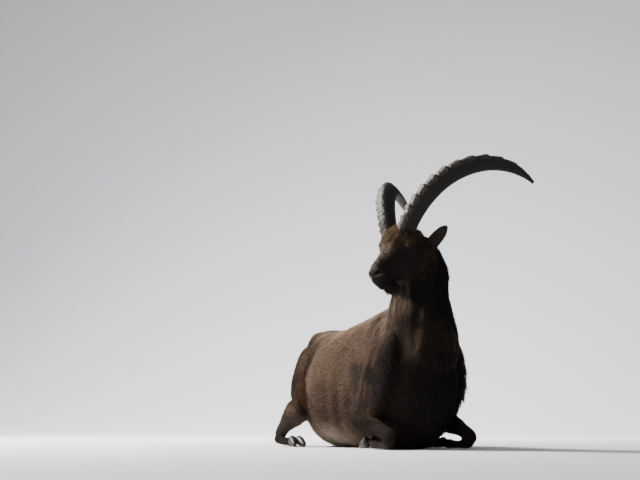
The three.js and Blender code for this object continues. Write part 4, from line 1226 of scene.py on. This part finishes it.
class IBEX_OT_coat(bpy.types.Operator):
    """Tufts of hair over the hide, in pieces by region"""

    bl_idname = "ibex.coat"
    bl_label = "Coat"

    def execute(self, context):
        coat = context.scene.ibex_coat
        hide = bpy.data.objects["hide"].data
        rng = np.random.default_rng(SEEDS["coat"])
        hair = read(hide, "hair", "FLOAT")
        bare = self.bare(to_body(corners_of(hide)[0]))
        density = np.clip(30 / hair, 0.8, 3.4) * bare * (1 + 0.7 * read(hide, "on_head", "FLOAT"))
        at, co, normals, uv = sampled(hide, density, coat.tufts, rng)
        root, normal = at(co), unit(at(normals))
        length = at(hair) * MM * rng.uniform(0.72, 1.2, coat.tufts)
        on_head, on_leg, on_neck = (at(read(hide, "on_" + name, "FLOAT")) for name in ("head", "leg", "neck"))
        stray = 0.11 + 0.1 * on_head
        way = unit(at(read(hide, "lie", "FLOAT_VECTOR")) + rng.normal(0, 1, (coat.tufts, 3)) * stray[:, None])
        tint = at(read(hide, "tint", "FLOAT_COLOR"))[:, :3] / HIDE_SHADE
        tint = tint * np.exp(rng.normal(0, 1, coat.tufts) * (0.13 + 0.13 * on_head))[:, None]
        body = to_body(root)
        way = unit(in_surface(self.clumped(body, way, normal, length / MM), normal))
        wide = np.clip(length * 0.1, 0.0013, 0.003) * rng.uniform(0.75, 1.25, coat.tufts)
        skull = to_head(body)
        bushy = on_head * step(14, 44, skull[:, 2]) * step(195, 130, skull[:, 0])
        length = length * (1 + 0.3 * bushy)
        depth = np.clip(length * 0.3, 0.0012, coat.depth_body) * rng.uniform(0.5, 1.1, coat.tufts)
        depth = depth * (1 + 0.9 * bushy)
        label, names = self.pieces(body, on_head, on_leg, on_neck)
        material = fur_material("coat hair", 0.72, 1400)
        for number, name in enumerate(names):
            pick = label == number
            rows = RINGS["neck" if name.startswith("neck") else "coat"]
            mesh = tufts(
                "coat_" + name, root[pick], normal[pick], way[pick], length[pick], wide[pick], depth[pick],
                tint[pick], uv[pick], rows, rng,
            )
            place("coat_" + name, mesh, material, "coat")
        return {"FINISHED"}

    @staticmethod
    def pieces(points, on_head, on_leg, on_neck):
        """Each tuft's number in the list of pieces, and the list: the trunk is cut in three by length."""
        parts = ("legs", "neck", "shoulder", "flank", "rump")
        names = ["head"] + [f"{part}_{word}" for part in parts for word, _ in SIDES]
        right = points[:, 0] < 0
        label = np.where(on_head > 0.5, 0, np.where(on_leg > 0.5, 1 + right, 3 + right))
        rest = (on_head <= 0.5) & (on_leg <= 0.5) & (on_neck <= 0.5)
        label[rest] = (5 + 2 * np.digitize(points[:, 1], (140, 420)) + right)[rest]
        return label, names

    @staticmethod
    def bare(points):
        """0 where no tufts grow: eyes, nostrils, the mouth and where the body lies on the floor."""
        skull = mirrored(to_head(points))
        eye = np.linalg.norm(skull - EYE_AT, axis=1) < EYE_RADIUS + 6
        nose = (skull[:, 0] > 288) & (skull[:, 2] > -36) & (skull[:, 1] < 60)
        floor = points[:, 2] < 5
        return (~(eye | nose | floor)).astype(float)

    @staticmethod
    def clumped(points, way, normal, length):
        """Turns each tuft towards the middle of its clump: the cells are those of a warped grid."""
        warp = points + CLUMP["warp"] * np.stack([ripple(points, 60, n) for n in (31, 32, 33)], 1)
        middle = (np.floor(warp / CLUMP["cell"]) + 0.5) * CLUMP["cell"] - (warp - points)
        pull = in_surface((middle - points) / np.maximum(length, 8)[:, None], normal)
        return unit(way + CLUMP["pull"] * pull * np.clip(length / 30, 0, 1)[:, None])


class IBEX_OT_beard(bpy.types.Operator):
    """Locks of the beard, hanging from behind the chin"""

    bl_idname = "ibex.beard"
    bl_label = "Beard"

    def execute(self, context):
        coat = context.scene.ibex_coat
        rng = np.random.default_rng(SEEDS["beard"])
        count = BEARD_TUFTS
        x = rng.uniform(BEARD["from"], BEARD["to"], count)
        side = rng.uniform(-1, 1, count)
        bottom = spline(HEAD, np.interp(x, [row[0] for row in HEAD], np.linspace(0, 1, len(HEAD))))[:, 2]
        root = np.stack([x, side * BEARD["half"], bottom + BEARD["sunk"]], 1)
        lead = np.stack([np.full(count, -0.22), side * 0.2, np.full(count, -1.0)], 1)
        lead = unit(lead + rng.normal(0, 0.07, (count, 3))) @ HEAD_TURN.T
        normal = HEAD_TURN[:, 0] + rng.normal(0, 0.3, (count, 3))
        normal = unit(in_surface(normal, lead))
        length = BEARD["length"] * (1 - 0.3 * side**2) * rng.uniform(0.72, 1.08, count) * MM
        tint = linear(coat.crown) * 0.8 * np.exp(rng.normal(0, 0.2, (count, 1)))
        uv = np.stack([0.2 + 0.6 * (x - BEARD["from"]) / 46, 0.5 + 0.4 * side], 1)
        wide, depth = np.full(count, BEARD["wide"] * MM), np.full(count, BEARD["deep"] * MM)
        root = in_part(from_head(root))
        mesh = tufts("beard", root, normal, lead, length, wide, depth, tint, uv, RINGS["beard"], rng)
        place("beard", mesh, fur_material("beard hair", 0.6, 1400), "face")
        return {"FINISHED"}


class IBEX_OT_ears(bpy.types.Operator):
    """Cupped ears with a rim, and hair on both faces"""

    bl_idname = "ibex.ears"
    bl_label = "Ears"

    def execute(self, context):
        coat, parts = context.scene.ibex_coat, context.scene.ibex_parts
        material = fur_material("ear hair", 0.75, 1400)
        for word, sign in SIDES:
            grid, inside = self.cup(word, sign)
            mesh = solid("ear_" + word, from_head(grid))
            inner = np.concatenate([inside.ravel(), [0.5, 0.5]])[:, None]
            lay_tint(mesh, linear(coat.face) * (1 - inner) + linear(parts.ear_inside) * inner)
            lay_map(mesh, "OFBake", self.unwrapped(*grid.shape[:2]))
            place("ear_skin_" + word, mesh, material, "face", ["ear_" + word])
            place("ear_hair_" + word, self.hair(mesh, word, sign, inner), material, "face")
        return {"FINISHED"}

    @staticmethod
    def cup(word, sign):
        """A crescent carried along the ear: the outer wall turns one way round and the inner wall back.

        The edge is drawn in by 0.12 * cos^2 of the way round, and the ear bends back by 12 * share^2.
        """
        rows, count = GRIDS["ear"]
        along = unit(on_side(EAR_ALONG[word], sign))
        opens = on_side(EAR_OPENS, sign)
        opens = unit(opens - along * (opens @ along))
        across = np.cross(along, opens)
        share = np.linspace(0, 1, rows)
        width = EAR_CUP * spline(EAR_WIDTHS, share)
        wall = np.minimum(EAR_WALL * (1 - 0.3 * share), width * 0.5)
        wrap = np.radians(EAR_WRAP * (1 - 0.55 * share))
        middle = on_side(EAR_ROOT, sign) + along * (share * EAR_LENGTH)[:, None]
        middle = middle - opens * (12 * share**2)[:, None]
        outer = np.linspace(-1, 1, count)[None] * wrap[:, None]
        inner = np.linspace(0.95, -0.95, count)[None] * wrap[:, None]
        angle = np.concatenate([outer, inner], 1)
        radius = np.repeat(np.stack([width, width - wall], 1), count, 1)
        edge = 1 - 0.12 * np.cos(angle / wrap[:, None] * PI / 2) ** 2
        grid = (
            middle[:, None]
            + across * (np.sin(angle) * radius)[..., None]
            + opens * ((width[:, None] * 0.4 - np.cos(angle) * radius) * edge)[..., None]
        )
        inside = np.repeat([[0.0, 1.0]], count, 1).repeat(rows, 0)
        inside[:, count - 1] = inside[:, 0] = 0.4
        return grid, inside

    @staticmethod
    @staticmethod
    def unwrapped(rows, points):
        """Rings across and rows along, laid flat as a grid, with a place for each pole."""
        u = np.tile(np.abs(np.arange(points) / points * 2 - 1), rows)
        v = np.repeat(np.arange(rows) / rows, points)
        return np.concatenate([np.stack([u, v], 1), [(0.5, 0.0), (0.5, 1.0)]])

    @staticmethod
    def hair(mesh, word, sign, inner):
        """Short tufts along the ear, longer on its inside and shorter near its tip."""
        rng = np.random.default_rng(SEEDS["ear"] + sign)
        count = EAR_TUFTS
        at, co, normals, uv = sampled(mesh, np.ones(len(mesh.vertices)), count, rng)
        root, normal = at(co), unit(at(normals))
        along = unit(on_side(EAR_ALONG[word], sign)) @ HEAD_TURN.T
        way = unit(in_surface(along + rng.normal(0, 0.14, (count, 3)), normal))
        inside = at(inner[:, 0])
        share = (root - in_part(from_head(on_side(EAR_ROOT, sign)))) @ along / (EAR_LENGTH * MM)
        length = (7 + 9 * inside) * MM * rng.uniform(0.7, 1.2, count) * (1 - 0.6 * step(0.7, 0.98, share))
        tint = at(read(mesh, "tint", "FLOAT_COLOR"))[:, :3] * np.exp(rng.normal(0, 0.14, count))[:, None]
        depth = length * (0.16 + 0.12 * inside)
        wide = length * 0.17
        return tufts("ear_hair", root, normal, way, length, wide, depth, tint, uv, RINGS["coat"], rng)


class IBEX_OT_eyes(bpy.types.Operator):
    """Eyeballs with a raised clear front, a level pupil, and dark lid edges"""

    bl_idname = "ibex.eyes"
    bl_label = "Eyes"

    def execute(self, context):
        parts = context.scene.ibex_parts
        material = eye_material(parts)
        lid = hoof_material("lid edge", (0.045, 0.035, 0.03))
        for word, sign in SIDES:
            axes = eye_axes(sign)
            grid, gaze = self.ball(sign, *axes)
            mesh = solid("eyeball_" + word, from_head(grid))
            lay_map(mesh, "gaze", gaze)
            place("eyeball_" + word, mesh, material, "eye", ["eye_" + word])
            place("lid_edge_" + word, self.rim("lid_edge_" + word, sign, *axes), lid, "face")
        return {"FINISHED"}

    @staticmethod
    def ball(sign, out, level, up):
        """Rings round the way that the eye looks, with the clear front raised by exp(-(polar / 0.5)^2)."""
        rows, points = GRIDS["eye"]
        polar = np.linspace(0.04, PI - 0.04, rows)[:, None]
        turn = np.arange(points)[None] / points * 2 * PI
        radius = (EYE_RADIUS - 0.2) * (1 + 0.035 * hump(polar, 0, 0.5))
        u, v = radius * np.sin(polar) * np.cos(turn), radius * np.sin(polar) * np.sin(turn)
        w = radius * np.cos(polar) + 0 * turn
        grid = on_side(EYE_AT, sign) + u[..., None] * level + v[..., None] * up + w[..., None] * out
        gaze = np.stack([u.ravel(), v.ravel()], 1) / EYE_RADIUS * 0.5 * sign + 0.5
        return grid, np.concatenate([gaze, [(0.5, 0.5), (0.5, 0.5)]])

    @staticmethod
    def rim(name, sign, out, level, up):
        """A thin round bead carried along the almond where the lids meet the eyeball."""
        count, points = GRIDS["lid"]
        centre = on_side(EYE_AT, sign)
        t = np.arange(count) / count * 2 * PI
        u = LID[0] * np.cos(t)
        v = np.where(np.sin(t) > 0, LID[1], LID[2]) * np.sin(t) + 1.0 + 0.006 * u**2
        w = np.sqrt(np.maximum((EYE_RADIUS + 0.6) ** 2 - u**2 - v**2, 4))
        path = centre + u[:, None] * level + v[:, None] * up + w[:, None] * out
        away = unit(path - centre)
        across = np.cross(unit(np.roll(path, -1, 0) - np.roll(path, 1, 0)), away)
        angle = np.arange(points)[None, :, None] / points * 2 * PI
        grid = path[:, None] + 1.25 * (np.cos(angle) * away[:, None] + np.sin(angle) * across[:, None])
        i, j = np.arange(count)[:, None] * points, np.arange(points)
        n, k = np.roll(i, -1, 0), np.roll(j, -1)
        quads = np.stack([i + j, i + k, n + k, n + j], -1).reshape(-1, 4)
        verts = from_head(grid.reshape(-1, 3))
        return put(name, in_part(verts), *outward(verts, quads, NO_TRIS))


class IBEX_OT_horns(bpy.types.Operator):
    """Horns: a broad front with knobs, narrowing to the rear, curved in one leaning plane"""

    bl_idname = "ibex.horns"
    bl_label = "Horns"

    def execute(self, context):
        parts = context.scene.ibex_parts
        material = horn_material()
        for word, sign in SIDES:
            grid, worn, hollow, growth = self.shell(word, sign)
            mesh = solid("horn_" + word, from_head(grid))
            mix = np.clip(worn, 0, 1).ravel()[:, None]
            tint = linear(parts.horn_dark) * (1 - mix) + linear(parts.horn_pale) * mix
            tint *= (1 - 0.82 * np.clip(hollow, 0, 1).ravel())[:, None]
            lay_tint(mesh, np.concatenate([tint, tint[:1], tint[-1:]]))
            lay_map(mesh, "growth", np.concatenate([growth, growth[:1], growth[-1:]]))
            place("horn_shell_" + word, mesh, material, "horn", ["horn_" + word])
        return {"FINISHED"}

    @staticmethod
    def curve(word, sign, share):
        """The horn's middle line, and the directions across it and to its front.

        The heading at share t is rise + bend * (t + later * (t^2 - t)) in a plane that leans and spreads. The
        twist then turns the front about the middle line.
        """
        shape = HORN_CURVES[word]
        heading = np.radians(shape["rise"] + shape["bend"] * (share + shape["later"] * (share**2 - share)))
        way = np.stack([np.cos(heading), 0 * heading, np.sin(heading)], 1)
        middle = (way[1:] + way[:-1]) / 2 * HORN_LENGTH / (len(share) - 1)
        at = np.concatenate([np.zeros((1, 3)), np.cumsum(middle, 0)])
        turn = about((1, 0, 0), -shape["lean"] * sign) @ about((0, 0, 1), -shape["spread"] * sign)
        level = np.tile(np.array([0, sign, 0]) @ turn.T, (len(share), 1))
        flat = np.cross(level, way @ turn.T) * sign
        twist = math.radians(shape["twist"])
        c, s = math.cos(twist), math.sin(twist)
        at = at @ turn.T + on_side(HORN_ROOT, sign)
        return at, level * c + flat * sign * s, flat * c - level * sign * s

    @staticmethod
    def relief(sign, share, angle):
        """How far each place is raised to a knob and sunk beyond one.

        A knob rises slowly on the root's side as exp(-distance^1.5), and falls off sharply towards the tip.
        """
        knobs = np.append(-0.01, 0.05 + 0.79 * np.linspace(0, 1, HORN_KNOBS) ** 1.25)
        gap = np.gradient(knobs)
        rng = np.random.default_rng(SEEDS["horn"] + sign)
        strength = rng.uniform(0.8, 1.15, len(knobs)) * np.interp(knobs, (0, 0.2, 0.8), (0.8, 1, 0.85))
        slant = rng.uniform(-0.005, 0.005, len(knobs))
        offset = share[:, None, None] - knobs - slant * np.cos(angle)[None, :, None]
        offset = offset + 0.0025 * np.sin(angle * 3 + knobs[:, None] * 90).T[None]
        slow, sharp = np.abs(offset) / (0.34 * gap), np.abs(offset) / np.minimum(0.16 * gap, 0.009)
        crest = (np.where(offset < 0, np.exp(-(slow**1.5)), np.exp(-(sharp**2.2))) * strength).max(2)
        return crest, (hump(offset, 0.22 * gap, 0.07 * gap) * strength).sum(2)

    def shell(self, word, sign):
        """Boxy ovals along the curve, narrower behind, with knobs, growth lines and chips."""
        rows, points = GRIDS["horn"]
        share = np.linspace(0, 1, rows)
        at, across, front = self.curve(word, sign, share)
        angle = (np.arange(points) + 0.5) / points * 2 * PI
        c, s = np.cos(angle), np.sin(angle)
        broad = step(0.15, 0.62, s)
        crest, below = self.relief(sign, share, angle)
        taper, along = spline(HORN_TAPER, share)[:, None], share[:, None]
        proud = HORN_KNOB * taper * crest * broad
        sink = 3.2 * taper * below * broad
        lines = np.sin(along * 620 + 3 * np.sin(along * 70) + 2.2 * s + 1.3 * c)
        fine = 0.35 * lines * (1.1 - broad) * taper
        chips = 0.7 * np.sin(along * 211 + 5 * c) * np.sin(along * 97 - 4 * c) * broad
        ahead = power(s, HORN_BOXY)
        narrow = HORN_BACK + (1 - HORN_BACK) * (ahead + 1) / 2
        wide = power(c, HORN_BOXY) * (HORN_WIDTH * taper * narrow + 0.3 * proud - 0.3 * sink + fine)
        deep = ahead * (HORN_DEPTH * taper + 0.5 * fine) + proud - sink + chips
        grid = at[:, None] + across[:, None] * wide[..., None] + front[:, None] * deep[..., None]
        worn = broad * (0.42 + 0.58 * crest) + 0.04
        growth = np.stack([np.repeat(share, points), np.tile(np.abs(angle / PI - 1), rows)], 1)
        return grid, worn, below * broad, growth


class IBEX_OT_hooves(bpy.types.Operator):
    """Cloven hooves, with two claws on each foot"""

    bl_idname = "ibex.hooves"
    bl_label = "Hooves"

    def execute(self, context):
        material = hoof_material("hoof horn", context.scene.ibex_parts.hoof)
        for word, sign in SIDES:
            for end, hoof in (("fore", FORE_HOOF), ("hind", HIND_HOOF)):
                shift = STAGGER[end] * (sign < 0)
                for toe, way in (("outer", 1), ("inner", -1)):
                    name = f"claw_{end}_{word}_{toe}"
                    mesh = solid(name, self.claw(hoof, sign, shift, way), 0)
                    place(name, mesh, material, "hoof", [f"hoof_{end}_{word}_{toe}"])
        return {"FINISHED"}

    @staticmethod
    def claw(hoof, sign, shift, way):
        """A wedge with a flat sole: the height falls as 1 - 0.62 t^2 towards a rounded toe."""
        rows, points = GRIDS["claw"]
        at, along, lift = (np.array(v, float) * (sign, 1, 1) for v in hoof)
        along, lift = unit(along), unit(lift)
        across = unit(np.cross(lift, along))
        across *= way * sign * np.sign(across[0])
        t = np.linspace(0, 1, rows)
        high = CLAW["high"] * (1 - 0.62 * t**2)
        middle = at + (0, shift, 0) + along * (t * CLAW["length"])[:, None]
        middle += across * (CLAW["apart"] + CLAW["splay"] * t)[:, None]
        middle -= lift * ((CLAW["high"] - high) * 0.55)[:, None]
        wide = CLAW["wide"] * np.sqrt(1 - 0.82 * t**3) + 0.35 * np.sin(t * 60)
        side, front = np.tile(across, (rows, 1)), np.tile(lift, (rows, 1))
        return rings(middle, side, front, wide, high, high * 0.8, CLAW["boxy"], points)


class IBEX_OT_stage(bpy.types.Operator):
    """Camera at the photograph's angle, a pale floor and soft studio lights"""

    bl_idname = "ibex.stage"
    bl_label = "Stage"

    def execute(self, context):
        stage = context.scene.ibex_stage
        yaw = math.atan2(PHOTO["withers"][0] - PHOTO["wide"] / 2, PHOTO["focal"])
        pitch = math.atan2(PHOTO["withers"][1] - PHOTO["high"] / 2, PHOTO["focal"])
        look = AHEAD * math.cos(yaw) - RIGHT * math.sin(yaw)
        camera_data = bpy.data.cameras.new("camera")
        camera_data.sensor_width = SENSOR
        camera_data.lens = SENSOR * PHOTO["focal"] / PHOTO["wide"]
        camera_data.clip_end = 60
        camera = bpy.data.objects.new("camera", camera_data)
        camera.location = SHIFT + seen(0, -stage.distance, stage.height)
        camera.rotation_euler = (PI / 2 + pitch, 0, math.atan2(look[1], look[0]) - PI / 2)
        context.scene.collection.objects.link(camera)
        context.scene.camera = camera
        self.floor(stage)
        middle = SHIFT + MIDDLE
        for name, (away, size, colour) in LAMPS.items():
            self.lamp(name, middle + seen(*away), middle, getattr(stage, name), size, colour)
        at, aim = (SHIFT + seen(*BACKDROP[key]) for key in ("at", "aim"))
        self.lamp("backdrop", at, aim, stage.backdrop, BACKDROP["size"], BACKDROP["colour"])
        world = bpy.data.worlds.new("studio")
        world.use_nodes = True
        settle(world.node_tree.nodes["Background"], {"Color": SKY_COLOUR, "Strength": stage.sky})
        context.scene.world = world
        return {"FINISHED"}

    @staticmethod
    def floor(stage):
        """A wide level sheet, three corners across, that curves up far behind the animal as a parabola."""
        u, v = np.meshgrid(np.linspace(-1, 1, 3), np.linspace(0, 1, FLOOR["rows"]))
        back = FLOOR["near"] + (FLOOR["far"] - FLOOR["near"]) * v
        rise = np.maximum(0, back - FLOOR["flat"]) ** 2 * FLOOR["curl"]
        grid = SHIFT + seen(u * FLOOR["half"], back, rise)
        i, j = np.meshgrid(np.arange(FLOOR["rows"] - 1), np.arange(2), indexing="ij")
        corner = (i * 3 + j).ravel()
        quads = np.stack([corner, corner + 1, corner + 4, corner + 3], 1)
        mesh = put("floor", grid.reshape(-1, 3), quads, NO_TRIS)
        material, _, shader = nodes_of("floor")
        settle(shader, {"Base Color": (*linear(stage.floor), 1), "Roughness": 0.9})
        mesh.materials.append(material)
        floor = bpy.data.objects.new("floor", mesh)
        bpy.context.scene.collection.objects.link(floor)

    @staticmethod
    def lamp(name, at, aim, watts, size, colour):
        """A square light that faces a point."""
        data = bpy.data.lights.new(name, "AREA")
        data.energy = watts
        data.size = size
        data.color = colour
        lamp = bpy.data.objects.new(name, data)
        way = unit(aim - at)
        lamp.location = at
        lamp.rotation_euler = (math.acos(-way[2]), 0, math.atan2(way[1], way[0]) - PI / 2)
        bpy.context.scene.collection.objects.link(lamp)


class IBEX_PT_panel(bpy.types.Panel):
    """Sidebar panel that lists the pieces"""

    bl_label = "Alpine ibex"
    bl_space_type = "VIEW_3D"
    bl_region_type = "UI"
    bl_category = "Ibex"

    def draw(self, context):
        for piece in PIECES:
            self.layout.operator(piece.bl_idname)
        for group in (context.scene.ibex_coat, context.scene.ibex_parts, context.scene.ibex_stage):
            for name in group.bl_rna.properties.keys():
                if name not in ("rna_type", "name"):
                    self.layout.prop(group, name)


PIECES = (
    IBEX_OT_hide, IBEX_OT_coat, IBEX_OT_beard, IBEX_OT_ears, IBEX_OT_eyes, IBEX_OT_horns, IBEX_OT_hooves,
    IBEX_OT_stage,
)
GROUPS = {"ibex_coat": IBEX_PG_coat, "ibex_parts": IBEX_PG_parts, "ibex_stage": IBEX_PG_stage}


def register():
    """Makes the settings, the operators and the panel known to Blender."""
    for kind in (*GROUPS.values(), *PIECES, IBEX_PT_panel):
        bpy.utils.register_class(kind)
    for name, kind in GROUPS.items():
        setattr(bpy.types.Scene, name, bpy.props.PointerProperty(type=kind))


def unregister():
    """Takes back what register did, in the opposite order."""
    for name in GROUPS:
        delattr(bpy.types.Scene, name)
    for kind in (IBEX_PT_panel, *reversed(PIECES), *reversed(GROUPS.values())):
        bpy.utils.unregister_class(kind)


def main():
    """Builds every piece in order."""
    register()
    for piece in PIECES:
        space, name = piece.bl_idname.split(".")
        getattr(getattr(bpy.ops, space), name)()


if __name__ == "__main__":
    main()
